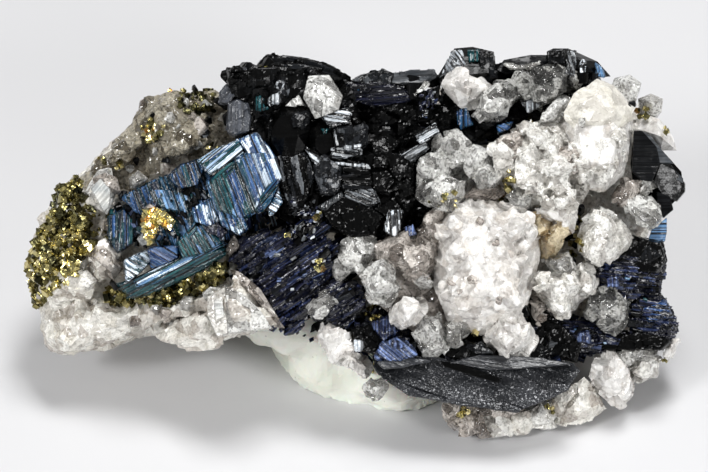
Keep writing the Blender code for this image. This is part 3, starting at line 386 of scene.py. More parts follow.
class Shader:
    """A Principled material with short helpers for its procedural parts."""

    def __init__(self, name, **values):
        self.material = bpy.data.materials.new(name)
        self.material.use_nodes = True
        self.tree = self.material.node_tree
        self.surface = self.tree.nodes["Principled BSDF"]
        self.coords = self.add("ShaderNodeTexCoord").outputs["Object"]
        self.geometry = self.add("ShaderNodeNewGeometry")
        self.normal = self.geometry.outputs["Normal"]
        for key, value in values.items():
            self.surface.inputs[key.replace("_", " ")].default_value = value
        MATERIAL[name] = self.material

    def add(self, kind, inputs=None, **settings):
        made = self.tree.nodes.new(kind)
        for key, value in settings.items():
            setattr(made, key, value)
        for key, value in (inputs or {}).items():
            if isinstance(value, bpy.types.NodeSocket):
                self.tree.links.new(value, made.inputs[key])
            else:
                made.inputs[key].default_value = value
        return made

    def attribute(self, name):
        return self.add("ShaderNodeAttribute", attribute_name=name).outputs["Fac"]

    def noise(self, size, detail=3.0, distortion=0.0):
        """Soft noise with features of the given size in millimetres."""
        made = self.add("ShaderNodeTexNoise", {"Vector": self.coords, "Scale": 1.0 / (size * MM),
                                               "Detail": detail, "Distortion": distortion})
        return made.outputs["Fac"]

    def lines(self, name, pitch, detail=2.0):
        """Uneven parallel lines across the direction stored with each crystal."""
        run = self.add("ShaderNodeMath", {0: self.attribute(name), 1: 1.0 / pitch}, operation="MULTIPLY")
        made = self.add("ShaderNodeTexNoise", {"W": run.outputs[0], "Scale": 1.0, "Detail": detail},
                        noise_dimensions="1D")
        return made.outputs["Fac"]

    def ramp(self, value, stops, linear=True):
        made = self.add("ShaderNodeValToRGB", {"Fac": value})
        made.color_ramp.interpolation = "LINEAR" if linear else "CONSTANT"
        band = made.color_ramp.elements
        while len(band) < len(stops):
            band.new(0.5)
        for element, (place, colour) in zip(band, stops):
            element.position = place
            element.color = colour if len(colour) == 4 else (*colour, 1.0)
        return made.outputs["Color"]

    def grey(self, value, low, high, start=0.3, end=0.7):
        made = self.add("ShaderNodeMapRange", {"Value": value, "From Min": start, "From Max": end,
                                               "To Min": low, "To Max": high})
        return made.outputs["Result"]

    def blend(self, share, first, second, mode="MIX"):
        made = self.add("ShaderNodeMix", data_type="RGBA", blend_type=mode)
        for socket, value in ((0, share), (6, first), (7, second)):
            if isinstance(value, bpy.types.NodeSocket):
                self.tree.links.new(value, made.inputs[socket])
            elif socket == 0:
                made.inputs[socket].default_value = value
            else:
                made.inputs[socket].default_value = (*value, 1.0)
        return made.outputs[2]

    def patches(self, size):
        """A value of its own for each angular cell of the given size."""
        cells = self.add("ShaderNodeTexVoronoi", {"Vector": self.coords, "Scale": 1.0 / (size * MM)})
        return self.add("ShaderNodeSeparateColor", {"Color": cells.outputs["Color"]}).outputs["Red"]

    def crackle(self, size, amount):
        """Small flat cells that each lean their own way, as broken crystal faces do."""
        cells = self.add("ShaderNodeTexVoronoi", {"Vector": self.coords, "Scale": 1.0 / (size * MM)})
        lean = self.add("ShaderNodeVectorMath", {0: cells.outputs["Color"], 1: (0.5, 0.5, 0.5)},
                        operation="SUBTRACT")
        lean = self.add("ShaderNodeVectorMath", {0: lean.outputs[0], "Scale": amount}, operation="SCALE")
        turned = self.add("ShaderNodeVectorMath", {0: self.normal, 1: lean.outputs[0]}, operation="ADD")
        unit = self.add("ShaderNodeVectorMath", {0: turned.outputs[0]}, operation="NORMALIZE")
        self.normal = unit.outputs[0]

    def bump(self, height, strength, distance):
        made = self.add("ShaderNodeBump", {"Height": height, "Strength": strength, "Distance": distance * MM,
                                           "Normal": self.normal})
        self.normal = made.outputs["Normal"]

    def set(self, **links):
        for key, value in links.items():
            self.tree.links.new(value, self.surface.inputs[key.replace("_", " ")])

    def done(self):
        self.tree.links.new(self.normal, self.surface.inputs["Normal"])


def quartz_material(name, light, dark, clear, roughness, lean=0.3, facets=(0.7, 0.67, 0.66), grain=0.0):
    """Quartz with angular flaws; "clear" gives the transmission in its purest and cloudiest parts."""
    made = Shader(name, IOR=1.544, Roughness=roughness)
    wide = made.patches(0.75)
    fine = made.patches(0.22)
    colour = made.ramp(wide, [(0.1, dark), (0.55, light)])
    small = made.ramp(fine, [(0.0, (0.80, 0.79, 0.78)), (0.5, (1.0, 1.0, 1.0))])
    colour = made.blend(0.7, colour, small, "MULTIPLY")
    if grain > 0.0:
        low = 1.0 - grain
        tiny = made.ramp(made.patches(0.12), [(0.05, (low, low, low * 0.98)), (0.55, (1.0, 1.0, 1.0))])
        colour = made.blend(1.0, colour, tiny, "MULTIPLY")
    tint = made.ramp(made.attribute("tone"), [(0.0, facets), (0.6, (1.0, 1.0, 1.0))])
    made.set(Base_Color=made.blend(0.85, colour, tint, "MULTIPLY"),
             Transmission_Weight=made.grey(wide, clear[0], clear[1], 0.1, 0.7))
    made.crackle(0.75, 0.12)
    made.crackle(0.22, lean)
    if grain > 0.0:
        made.crackle(0.12, grain * 1.1)
    made.bump(made.noise(0.16, 3.0), 0.2, 0.04)
    made.done()
    return made


def vivianite_material(name, stops, roughness, lean=0.05, cell=0.5, line_pitch=0.09, line_depth=0.035,
                       level=0.5, line_strength=0.7, stripes=(0.6, 1.2)):
    """Vivianite: the tones of the crystals, the highest of them painted highlights, and fine lines of lighter and
    darker colour along the growth, partly growth lines and partly painted reflections off the striations.
    """
    made = Shader(name, IOR=1.62, Roughness=roughness, Specular_IOR_Level=level)
    colour = made.ramp(made.attribute("tone"), stops)
    patches = made.ramp(made.noise(0.8, 3.0), [(0.35, (0.55, 0.6, 0.65)), (0.7, (1.2, 1.2, 1.2))])
    colour = made.blend(0.8, colour, patches, "MULTIPLY")
    low, high = stripes
    # Lighter and darker lines in the colour: partly the crystal's growth lines, partly painted reflections along its
    # striations.
    strokes = made.ramp(made.lines("along", line_pitch * 1.5, 3.0), [(0.40, (low, low, low)), (0.5, (0.9, 0.9, 0.9)),
                                                                     (0.6, (high, high, high))])
    made.set(Base_Color=made.blend(1.0, colour, strokes, "MULTIPLY"))
    made.crackle(cell * 3.0, lean)
    made.crackle(cell, lean)
    made.bump(made.lines("along", line_pitch), line_strength, line_depth)
    made.bump(made.noise(0.12, 2.0), 0.12, 0.03)
    made.done()
    return made


def make_materials():
    quartz_material("milky", (0.90, 0.885, 0.86), (0.80, 0.77, 0.74), (0.3, 0.06), 0.18, 0.4, (0.86, 0.82, 0.78), 0.12)
    quartz_material("cream", (0.78, 0.755, 0.69), (0.70, 0.67, 0.61), (0.25, 0.05), 0.25, 0.2, (0.86, 0.84, 0.78), 0.12)
    quartz_material("pale", (0.99, 0.98, 0.94), (0.84, 0.81, 0.76), (0.4, 0.1), 0.1, 0.3, (0.8, 0.78, 0.74), 0.4)
    quartz_material("clear", (0.98, 0.98, 0.95), (0.78, 0.77, 0.74), (0.8, 0.3), 0.05, 0.3, (0.7, 0.68, 0.66), 0.6)
    quartz_material("grey", (0.66, 0.66, 0.63), (0.30, 0.30, 0.29), (0.85, 0.4), 0.05, 0.3, (0.7, 0.68, 0.66), 0.7)
    quartz_material("smoky", (0.80, 0.74, 0.68), (0.46, 0.40, 0.35), (0.75, 0.3), 0.06, 0.3, (0.7, 0.67, 0.66), 0.6)
    quartz_material("brown", (0.50, 0.46, 0.37), (0.21, 0.18, 0.13), (0.6, 0.25), 0.08, 0.3, (0.7, 0.66, 0.6), 0.55)
    quartz_material("honey", (0.86, 0.74, 0.52), (0.56, 0.40, 0.20), (0.6, 0.25), 0.12, 0.45, (0.7, 0.67, 0.6), 0.3)
    quartz_material("rock", (0.97, 0.95, 0.89), (0.80, 0.74, 0.67), (0.4, 0.1), 0.2, 0.4, (0.7, 0.67, 0.62), 0.3)
    # The top stop of black is a painted reflection: a grey for faces that stand in for the lamps mirrored in the black
    # crystals.
    black = [(0.0, (0.001, 0.001, 0.001)), (0.6, (0.002, 0.002, 0.002)), (0.9, (0.014, 0.015, 0.017)),
             (1.0, (0.13, 0.135, 0.142))]
    vivianite_material("black", black, 0.18, 0.07, 0.3, 0.12, 0.02, 0.13, 0.4)
    # The top stop of indigo is a painted highlight, a pale blue-grey.
    indigo = [(0.0, (0.003, 0.003, 0.005)), (0.5, (0.006, 0.007, 0.018)), (0.8, (0.013, 0.019, 0.05)),
              (1.0, (0.11, 0.15, 0.28))]
    vivianite_material("indigo", indigo, 0.18, 0.2, 0.2, 0.12, 0.05, 0.4, 0.8, (0.3, 2.4))
    # The top stop of blue, near-white, is a painted highlight; the lower stops are the crystal's own teal and blue.
    blue = [(0.0, (0.004, 0.008, 0.02)), (0.2, (0.008, 0.06, 0.065)), (0.4, (0.012, 0.04, 0.12)),
            (0.6, (0.035, 0.09, 0.21)), (0.8, (0.15, 0.28, 0.45)), (1.0, (0.8, 0.88, 0.95))]
    vivianite_material("blue", blue, 0.16, 0.16, 0.16, 0.1, 0.055, 0.45, 0.85, (0.06, 1.5))
    # This material paints faces grey to near-white as if they mirrored the lamps: painted reflections on the vivianite,
    # dark at its lowest tones.
    painted_reflection = [(0.0, (0.004, 0.005, 0.006)), (0.4, (0.12, 0.125, 0.13)), (1.0, (0.62, 0.64, 0.66))]
    vivianite_material("painted_reflection", painted_reflection, 0.18, 0.22, 0.15, 0.13, 0.05, 0.45, 0.7, (0.05, 1.5))
    white = [(0.0, (0.42, 0.41, 0.38)), (1.0, (0.68, 0.67, 0.63))]
    vivianite_material("striated", white, 0.15, 0.15, 0.3, 0.1, 0.03, 0.5, 0.6, (0.75, 1.1))
    slate = [(0.0, (0.012, 0.013, 0.016)), (1.0, (0.06, 0.065, 0.078))]
    vivianite_material("slate", slate, 0.32, 0.1, 0.12, 0.16, 0.05)
    made = Shader("sparkle", IOR=1.62, Roughness=0.26, Metallic=0.3)
    shade = made.ramp(made.noise(2.2, 4.0), [(0.35, (0.008, 0.009, 0.011)), (0.65, (0.03, 0.032, 0.037))])
    made.set(Base_Color=shade)
    made.crackle(0.065, 0.55)
    made.bump(made.lines("along", 0.6), 0.3, 0.04)
    made.done()
    made = Shader("pyrite", Roughness=0.27, Metallic=1.0)
    gold = [(0.0, (0.03, 0.032, 0.02)), (0.3, (0.20, 0.18, 0.075)), (0.6, (0.46, 0.40, 0.16)),
            (0.93, (0.85, 0.74, 0.38)), (1.0, (0.75, 0.33, 0.06))]
    made.set(Base_Color=made.ramp(made.attribute("tone"), gold))
    made.crackle(0.1, 0.35)
    made.done()
    made = Shader("putty", Roughness=0.75, Subsurface_Weight=0.15, Subsurface_Scale=0.001)
    specks = made.ramp(made.noise(0.35, 1.0), [(0.18, (0.25, 0.24, 0.2)), (0.24, (1.0, 1.0, 1.0))])
    base = made.ramp(made.noise(3.0, 4.0), [(0.3, (0.86, 0.88, 0.77)), (0.7, (0.93, 0.94, 0.86))])
    made.set(Base_Color=made.blend(1.0, base, specks, "MULTIPLY"))
    made.bump(made.noise(0.8, 5.0), 0.35, 0.2)
    made.done()
    made = Shader("crust", Roughness=0.5, IOR=1.5)
    made.set(Base_Color=made.ramp(made.noise(0.7, 5.0), [(0.35, (0.015, 0.014, 0.013)),
                                                          (0.62, (0.03, 0.026, 0.02)), (0.8, (0.16, 0.11, 0.06))]))
    made.crackle(0.2, 0.6)
    made.done()


make_materials()


class Sight:
    """Finds what the frame shows along a line of sight, node by node."""

    def __init__(self):
        mesh = bmesh.new()
        self.starts = []
        for name, item in sorted(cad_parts.items()):
            self.starts.append((len(mesh.faces), name))
            mesh.from_mesh(item.data)
        bmesh.ops.scale(mesh, vec=(1000.0, 1000.0, 1000.0), verts=mesh.verts)
        self.tree = BVHTree.FromBMesh(mesh)

    def at(self, across, up):
        """(point, normal, node) of the first surface met, or None."""
        start = at_depth(across, up, 30.0)
        way = (at_depth(across, up, -20.0) - start).normalized()
        point, normal, index, _ = self.tree.ray_cast(start, way)
        if point is None:
            return None
        node = [name for first, name in self.starts if first <= index][-1]
        return point, normal if normal.dot(way) < 0.0 else -normal, node


SIGHT = Sight()


def is_quartz(node):
    return "quartz" in node and node != "quartz_matrix"


# Rock and putty

def even(mesh, voxel):
    """The same form in even small faces, with everything that overlaps grown together."""
    data = bpy.data.meshes.new("source")
    mesh.to_mesh(data)
    item = bpy.data.objects.new("source", data)
    bpy.context.scene.collection.objects.link(item)
    step = item.modifiers.new("even", "REMESH")
    step.mode = "VOXEL"
    step.voxel_size = voxel
    bpy.context.view_layer.update()
    copy = bpy.data.meshes.new_from_object(item.evaluated_get(bpy.context.evaluated_depsgraph_get()))
    bpy.data.objects.remove(item, do_unlink=True)
    mesh.clear()
    mesh.from_mesh(copy)
    return mesh


def node_mesh(node):
    mesh = bmesh.new()
    mesh.from_mesh(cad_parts[node].data)
    bmesh.ops.remove_doubles(mesh, verts=mesh.verts, dist=0.000002)
    bmesh.ops.scale(mesh, vec=(1000.0, 1000.0, 1000.0), verts=mesh.verts)
    return mesh


def gathered(solids):
    mesh = bmesh.new()
    for solid in solids:
        data = bpy.data.meshes.new("solid")
        solid.to_mesh(data)
        mesh.from_mesh(data)
        bpy.data.meshes.remove(data)
    return mesh


def fracture(place, size):
    """How far a place stands out on a surface of flat broken faces about this size."""
    _, centres = noise.voronoi(place / size)
    centre = centres[0]
    lean = noise.cell_vector(centre * 37.0) * 2.0 - Vector((1.0, 1.0, 1.0))
    return (place / size - centre).dot(lean) * size + noise.cell(centre * 53.0) * size * 0.25


def displaced(mesh, amount, buried):
    """Vertices moved along their normals by amount(place); a buried back stays flat, in few faces."""
    mesh.normal_update()
    back = {vert for vert in mesh.verts if buried and vert.normal.dot(OUT) < -0.4}
    moves = [(vert, vert.normal * amount(vert.co)) for vert in mesh.verts if vert not in back]
    for vert, move in moves:
        vert.co += move
    inner = [edge for edge in mesh.edges if edge.verts[0] in back and edge.verts[1] in back]
    bmesh.ops.dissolve_limit(mesh, angle_limit=0.2, verts=list(back), edges=inner)
    return mesh


def crystal_amount(place):
    return fracture(place, 1.6) * 0.32 + fracture(place + Vector((7, 3, 5)), 0.6) * 0.13 - 0.04


def quartz_amount(place):
    return fracture(place, 0.8) * 0.2 + fracture(place + Vector((7, 3, 5)), 0.33) * 0.2 - 0.03


def smooth_quartz_amount(place):
    return fracture(place, 1.1) * 0.08 + fracture(place + Vector((7, 3, 5)), 0.4) * 0.06 - 0.02


def squeezed(place, way, stretch):
    return place - way * (place.dot(way) * (1.0 - 1.0 / stretch))


def grown(way, size, depth, stretch=5.0):
    """Displacement in flat faces drawn out along the way in which the crystals grow."""
    def amount(place):
        near = squeezed(place, way, stretch)
        return (fracture(near, size) + fracture(near + Vector((9, 4, 6)), size * 0.45) * 0.9) * depth
    return amount


def broken(size, depth):
    """Displacement in flat faces of about this size."""
    def amount(place):
        return fracture(place, size) * depth + fracture(place + Vector((9, 4, 6)), size * 0.4) * depth * 0.5
    return amount


def rock_amount(place):
    return (fracture(place, 2.1) * 0.22 + fracture(place + Vector((7, 3, 5)), 0.9) * 0.16
            + noise.noise(place * 2.6) * 0.06 - 0.12)


def putty_amount(place):
    if place.z < 0.15:
        return 0.0
    drag = noise.noise(Vector((place.x * 0.9, place.y * 0.9, place.z * 0.25))) * 0.3
    return drag + noise.noise(place * 1.3) * 0.12 + noise.noise(place * 4.0) * 0.03 - 0.1


def rough_piece(name, slot, node, material, voxel, amount):
    piece = Piece(name, slot, [node], [material])
    piece.add_mass([node_mesh(node)], voxel, amount, buried=False)
    return piece


def middle_table(outline, share=0.45):
    across = sum(point[0] for point in outline) / len(outline)
    up = sum(point[1] for point in outline) / len(outline)
    return [(across + (point[0] - across) * share, up + (point[1] - up) * share) for point in outline]


def add_crystals(piece, table, chance, crisp=False):
    """Rough or crisp crystals seen as the outlines, each with a raised middle."""
    for material, outline, rise, rim in table:
        solid = shard(outline, middle_table(outline, chance.uniform(0.3, 0.55)), rise, 1.8, rim)
        solid = cut(chipped(solid, chance, 4, 0.15), Vector((0, 0, 0.45)), Vector((0, 0, -1)))
        if crisp:
            piece.add(solid, material, 0.6, UP, 0.04, 0.5)
        else:
            piece.add_mass([solid], 0.095, crystal_amount, material, (0.3, 0.9), 0.5)


def add_bits(piece, material, places, chance, lift=0.12):
    """Small chips that sit on the surface seen at the places (across, up, size)."""
    for across, up, size in places:
        found = SIGHT.at(across, up)
        if found is not None:
            piece.add(lump(found[0] + OUT * lift, size, chance), material, None, UP, size * 0.08, 0.4)


def left_rock(piece):
    """Crystals that stand on the bare left end of the rock."""
    chance = random.Random(3)
    add_crystals(piece, [
        (6, [(-12.8, 6.8), (-12.4, 8.0), (-11.6, 8.7), (-10.6, 8.7), (-9.7, 8.0), (-9.5, 6.6), (-10.1, 5.8), (-11.7, 5.5), (-12.5, 5.8)], 1.2, 0.2),
        (6, [(-11.9, 6.8), (-10.1, 6.6), (-9.0, 6.1), (-9.2, 5.3), (-10.4, 4.7), (-11.7, 5.0)], 1.0, 0.1),
        (6, [(-15.0, 5.2), (-14.2, 6.1), (-12.9, 6.2), (-12.8, 5.6), (-13.5, 5.0), (-14.6, 4.6)], 1.0, 0.2),
        (0, [(-19.0, -3.0), (-18.0, -2.1), (-16.5, -1.9), (-15.6, -2.7), (-16.0, -3.8), (-18.0, -4.1)], 1.0, 0.0),
        (0, [(-12.2, -6.1), (-10.6, -5.0), (-8.5, -4.4), (-7.8, -5.9), (-8.3, -6.8), (-10.4, -6.9)], 1.3, 0.2)], chance)
    add_crystals(piece, [
        (2, [(-16.5, 2.5), (-15.6, 4.0), (-14.7, 4.2), (-14.4, 2.6), (-15.0, 1.3), (-16.0, 1.7)], 1.5, 0.3),
        (1, [(-16.3, -1.2), (-15.9, -0.3), (-15.2, -0.2), (-14.4, -1.0), (-14.0, -2.0), (-14.6, -2.7), (-15.5, -2.2)], 1.6, 0.3),
        (7, [(-16.9, -2.4), (-16.2, -2.0), (-15.6, -2.7), (-16.0, -3.5), (-16.7, -3.2)], 1.2, 0.3),
        (2, [(-13.7, 3.5), (-13.1, 4.0), (-12.5, 3.5), (-13.1, 2.8), (-13.6, 2.9)], 1.6, 0.4),
        (1, [(-13.1, 1.6), (-12.4, 2.2), (-11.7, 1.7), (-12.4, 1.1)], 1.7, 0.4),
        (2, [(-13.2, -0.2), (-12.8, 0.4), (-12.4, 0.1), (-12.5, -0.5), (-12.9, -0.6)], 1.9, 0.6),
        (1, [(-15.2, 0.9), (-14.2, 1.1), (-14.0, 0.6), (-14.6, 0.1), (-15.2, 0.4)], 1.3, 0.3),
        (1, [(-7.7, -1.9), (-7.0, -2.1), (-5.7, -3.2), (-4.2, -5.6), (-4.8, -5.6), (-6.8, -3.1)], 1.3, 0.6),
        (1, [(-7.3, 0.1), (-6.8, -0.6), (-7.6, -1.3), (-8.0, -1.0)], 1.0, 0.2)], chance, True)
    for outline, lift, slope, material in [
            ([(-8.9, -3.7), (-7.8, -3.1), (-7.7, -5.9), (-8.3, -6.1), (-8.9, -4.8)], 2.1, (0.4, -0.2), 7),
            ([(-7.8, -3.1), (-6.8, -3.5), (-5.7, -4.5), (-5.0, -5.6), (-7.7, -5.9)], 2.25, (0.05, 0.05), 2)]:
        piece.add(facet(outline, lift, slope, 2.4, 1.1), material, 0.7, UP, 0.05, 0.3)
    for outline, lift, slope, heading in [
            ([(-16.0, 2.9), (-15.4, 3.5), (-14.8, 2.8), (-14.9, 1.7), (-15.2, 1.5)], 1.7, (0.1, -0.3), -40),
            ([(-8.5, -3.9), (-8.0, -3.7), (-7.9, -4.9), (-8.4, -5.1)], 2.25, (0.4, -0.2), 90)]:
        striated(piece, facet(outline, lift, slope, 1.0, 1.0), heading, 0.16, 8, [0.6, 1.0, 0.2, 0.9], 20.0, 0.1)
    add_bits(piece, 2, [(-11.2, 7.1, 0.45), (-10.7, 6.65, 0.22), (-12.1, 5.15, 0.32), (-13.2, 3.4, 0.5),
                        (-9.0, 8.0, 0.4), (-10.2, 8.1, 0.3), (-13.6, 4.1, 0.35), (-9.6, 5.6, 0.45)], chance)
    add_bits(piece, 5, [(-13.1, 4.6, 0.36), (-11.4, 4.6, 0.36), (-12.2, 7.3, 0.26), (-12.0, 5.9, 0.25),
                        (-14.5, -3.0, 0.45), (-14.0, 2.6, 0.5), (-14.3, 1.7, 0.4), (-16.9, 1.9, 0.3),
                        (-10.4, 8.2, 0.35), (-9.6, 8.9, 0.35), (-8.9, 7.0, 0.4), (-9.0, 6.2, 0.35)], chance)


def gap_quartz(piece):
    """Crystals between the milky clusters and around them, where the rock would show."""
    chance = random.Random(13)
    add_crystals(piece, [
        (4, [(10.7, 1.5), (11.8, 1.4), (12.8, 0.8), (13.0, -0.1), (12.6, -0.8), (12.1, -1.5), (11.6, -1.4), (11.3, -0.1)], 1.7, 0.7),
        (4, [(12.0, 0.9), (13.0, 1.1), (13.2, 0.2), (12.7, -0.2), (12.0, 0.0)], 1.9, 0.8),
        (2, [(11.4, -1.5), (12.1, -1.4), (13.0, -0.8), (13.4, -1.2), (13.6, -2.1), (13.0, -2.6), (11.8, -2.2)], 1.5, 0.5),
        (7, [(13.7, -1.6), (14.2, -1.8), (14.6, -2.6), (14.4, -3.4), (13.8, -3.9), (13.6, -2.8)], 1.9, 0.8),
        (3, [(10.9, 1.7), (13.7, 2.1), (13.7, 1.1), (13.2, 0.2), (12.5, 0.8), (11.4, 0.9)], 2.0, 0.8),
        (2, [(9.3, 2.6), (10.1, 3.2), (11.1, 2.4), (10.7, 1.5), (9.6, 1.8)], 1.7, 0.5),
        (1, [(15.3, 2.4), (15.9, 3.2), (16.8, 3.4), (17.5, 3.3), (17.4, 2.7), (16.4, 1.8), (15.7, 2.0)], 1.7, 0.5),
        (2, [(17.4, 2.8), (17.6, 3.4), (18.1, 3.3), (18.2, 2.7), (17.9, 2.3), (17.5, 2.3)], 1.9, 0.7),
        (1, [(3.6, 0.4), (4.6, 1.4), (5.6, 1.9), (5.3, 0.9), (5.1, -0.1), (3.8, 0.0)], 1.6, 0.4),
        (1, [(1.1, -0.6), (2.8, -0.1), (4.7, 0.0), (5.2, -0.5), (4.8, -1.9), (3.3, -2.7), (2.7, -1.5), (1.4, -1.4)], 1.9, 0.5),
        (2, [(3.5, -2.8), (4.3, -2.1), (4.8, -2.2), (4.7, -3.2), (4.0, -3.4)], 2.4, 0.9),
        (2, [(-1.0, -1.9), (0.7, -1.6), (0.5, -2.2), (-1.0, -2.5)], 1.2, 0.3),
        (7, [(15.8, -7.1), (16.6, -6.7), (17.6, -6.8), (17.4, -7.5), (16.3, -7.8)], 1.1, 0.2),
        (7, [(16.4, -7.9), (17.1, -7.2), (18.3, -7.4), (18.4, -8.5), (17.1, -8.6)], 0.9, 0.1),
        (2, [(-3.2, -4.3), (-2.7, -3.5), (-1.5, -3.2), (-0.8, -4.1), (-1.5, -5.0), (-2.6, -5.0)], 1.3, 0.7),
        (3, [(-2.2, -5.2), (-1.5, -4.9), (-0.7, -5.8), (-0.6, -6.5), (-1.5, -6.7), (-2.1, -6.1)], 0.8, 0.0),
        (3, [(-1.6, -6.7), (-0.6, -6.4), (0.4, -7.2), (1.2, -8.1), (1.0, -8.7), (0.0, -8.2), (-1.0, -7.7)], 0.7, -0.1),
        (2, [(0.4, -9.2), (1.5, -8.7), (2.0, -9.1), (1.4, -9.8), (0.7, -9.8)], 0.9, 0.0)], chance)
    add_bits(piece, 2, [(15.6, 1.3, 0.3), (5.6, 2.1, 0.35), (4.6, 1.9, 0.3), (7.4, 2.3, 0.35), (13.9, 6.9, 0.4),
                        (14.2, 1.0, 0.4), (16.0, 2.2, 0.35), (19.5, -6.1, 0.35), (17.9, -6.8, 0.35)], chance)
    add_bits(piece, 5, [(13.2, 0.8, 0.6), (13.4, -0.4, 0.5), (13.6, 1.6, 0.5), (13.0, -1.4, 0.5), (12.9, 0.0, 0.45),
                        (10.4, -4.6, 0.5), (12.2, -1.8, 0.4), (14.2, -3.0, 0.4), (16.6, 7.8, 0.4), (16.9, 8.1, 0.35),
                        (12.6, -5.2, 0.4), (9.2, 3.9, 0.25)], chance)


def scatter_quartz(piece, region, spacing, radius, length, sink, tilt, materials, chance, only=None):
    """Stubby crystals that stand out of the surface seen in the region."""
    for across, up in spots(region, spacing, chance):
        found = SIGHT.at(across, up)
        if found is None or (only and found[2] not in only):
            continue
        point, normal, _ = found
        way = (normal * 0.5 + OUT * 0.6 + random_direction(chance) * tilt).normalized()
        wide = chance.uniform(*radius)
        solid = crystal(point - way * sink, way, wide, sink + chance.uniform(*length), chance)
        piece.add(solid, chance.choice(materials), None, way, wide * 0.06)


def rock():
    piece = rough_piece("quartz_matrix_rock", "quartz_rock", "quartz_matrix", "rock", 0.32, rock_amount)
    piece.materials = ["rock", "smoky", "clear", "milky", "honey", "black", "brown", "pale", "striated"]
    upper = [(-17.2, 3.0), (-14.6, 6.6), (-12.8, 9.6), (-7.6, 9.8), (-7.4, 5.6), (-10.4, 4.4), (-12.0, 3.8),
             (-13.4, 2.6)]
    for face in piece.mesh.faces:
        away = face.calc_center_median() - FACE_CENTRE
        stray = fracture(away, 1.2) * 0.8 + noise.noise(away * 0.4) * 2.0
        if away.dot(OUT) > stray - 4.0 and inside(upper, away.dot(ACROSS) + stray, away.dot(UP)):
            face.material_index = 6
    left_rock(piece)
    gap_quartz(piece)
    chance = random.Random(11)
    row = [(-13.9, -4.9), (-13.1, -4.3), (-12.0, -4.2), (-10.6, -4.0), (-9.6, -3.3), (-8.6, -3.0), (-8.2, -4.4),
           (-9.6, -5.2), (-12.0, -5.4), (-14.0, -5.6)]
    scatter_quartz(piece, row, 0.95, (0.3, 0.55), (0.3, 0.7), 0.8, 0.4, [1, 2, 2], chance)
    scatter_quartz(piece, upper, 2.1, (0.6, 1.0), (0.05, 0.3), 0.9, 0.5, [6, 6, 1], chance)
    piece.finish()


def putty():
    rough_piece("mounting_putty_lump", "putty", "mounting_putty", "putty", 0.3, putty_amount).finish()


# Quartz

def standing(region, spacing, radius, length, sink, tilt, chance, only=None):
    """Stubby crystals that stand out of the surface seen in the region."""
    made = []
    for across, up in spots(region, spacing, chance):
        found = SIGHT.at(across, up)
        if found is None or (only and found[2] not in only):
            continue
        point, normal, _ = found
        way = (normal * 0.5 + OUT * 0.6 + random_direction(chance) * tilt).normalized()
        wide = chance.uniform(*radius)
        made.append(crystal(point - way * sink, way, wide, sink + chance.uniform(*length), chance))
    return made


def milky_cluster():
    piece = Piece("milky_quartz_druse", "milky_quartz", ["milky_quartz_cluster"], ["milky", "clear", "smoky"])
    chance = random.Random(21)
    mound = [(4.9, 0.9), (6.0, 1.9), (8.4, 2.2), (10.3, 1.9), (11.5, 0.4), (11.3, -1.5), (10.6, -4.0),
             (10.2, -5.6), (7.7, -6.1), (5.6, -5.2), (4.8, -3.0), (5.0, -0.9)]
    solids = [shard(mound, [(6.4, 0.6), (9.3, 0.8), (9.6, -3.0), (7.0, -3.8)], 2.7, 3.4, 0.5)]
    solids += standing(mound, 0.7, (0.35, 0.6), (0.15, 0.45), 1.2, 0.5, chance, ["milky_quartz_cluster"])
    piece.add_mass(solids, 0.07, smooth_quartz_amount)
    add_bits(piece, 2, [(8.6, -0.4, 0.3), (9.5, -1.1, 0.3), (7.2, -2.7, 0.38), (5.9, -2.8, 0.35), (6.5, -3.4, 0.3),
                        (7.6, 0.9, 0.35), (8.8, -3.9, 0.3)], chance, 0.35)
    ledge = [(1.2, -1.8), (5.4, -1.0), (6.4, -5.4), (4.6, -6.6), (2.8, -5.2), (1.0, -3.8)]
    piece.add(shard(ledge, [], 0.0, 1.6, -0.1), 2)
    edge_crystals = [
        (2, [(1.5, -0.6), (2.0, -0.3), (4.0, 0.1), (5.2, -0.2), (5.2, -1.7), (4.2, -3.4), (2.9, -2.6)],
         [(3.0, -1.2), (4.4, -0.9), (3.8, -2.2)], 2.2),
        (1, [(0.3, -2.6), (1.1, -1.7), (1.9, -1.3), (2.6, -2.0), (3.1, -3.3), (2.2, -4.2), (1.0, -4.2)],
         [(1.5, -2.2), (2.2, -2.9), (1.2, -3.3)], 2.7),
        (0, [(2.4, -4.3), (3.0, -3.6), (3.9, -3.4), (4.3, -4.5), (3.5, -5.5), (2.8, -5.9), (2.3, -5.2)],
         [(3.0, -4.1), (3.9, -4.3), (3.3, -5.0)], 3.1),
        (1, [(3.4, -5.8), (4.0, -4.9), (5.2, -4.7), (5.6, -5.9), (5.5, -6.8), (5.0, -7.3), (4.1, -7.4)],
         [(4.4, -6.1)], 3.6),
        (1, [(5.4, -5.2), (7.6, -5.0), (7.0, -6.2), (6.0, -6.8), (5.5, -6.5)], [(6.2, -5.7)], 2.6),
        (0, [(7.8, -6.1), (8.8, -4.4), (10.3, -4.8), (11.1, -6.3), (10.3, -7.0), (9.9, -7.9), (9.0, -7.9)],
         [(8.9, -5.9), (9.9, -6.0), (9.4, -7.0)], 2.5),
    ]
    for kind, outline, table, rise in edge_crystals:
        piece.add_mass([chipped(shard(outline, table, rise, 1.6, 0.7), chance, 5, 0.15)], 0.07, crystal_amount, kind,
                       (0.3, 0.9), 0.5)
    piece.finish()


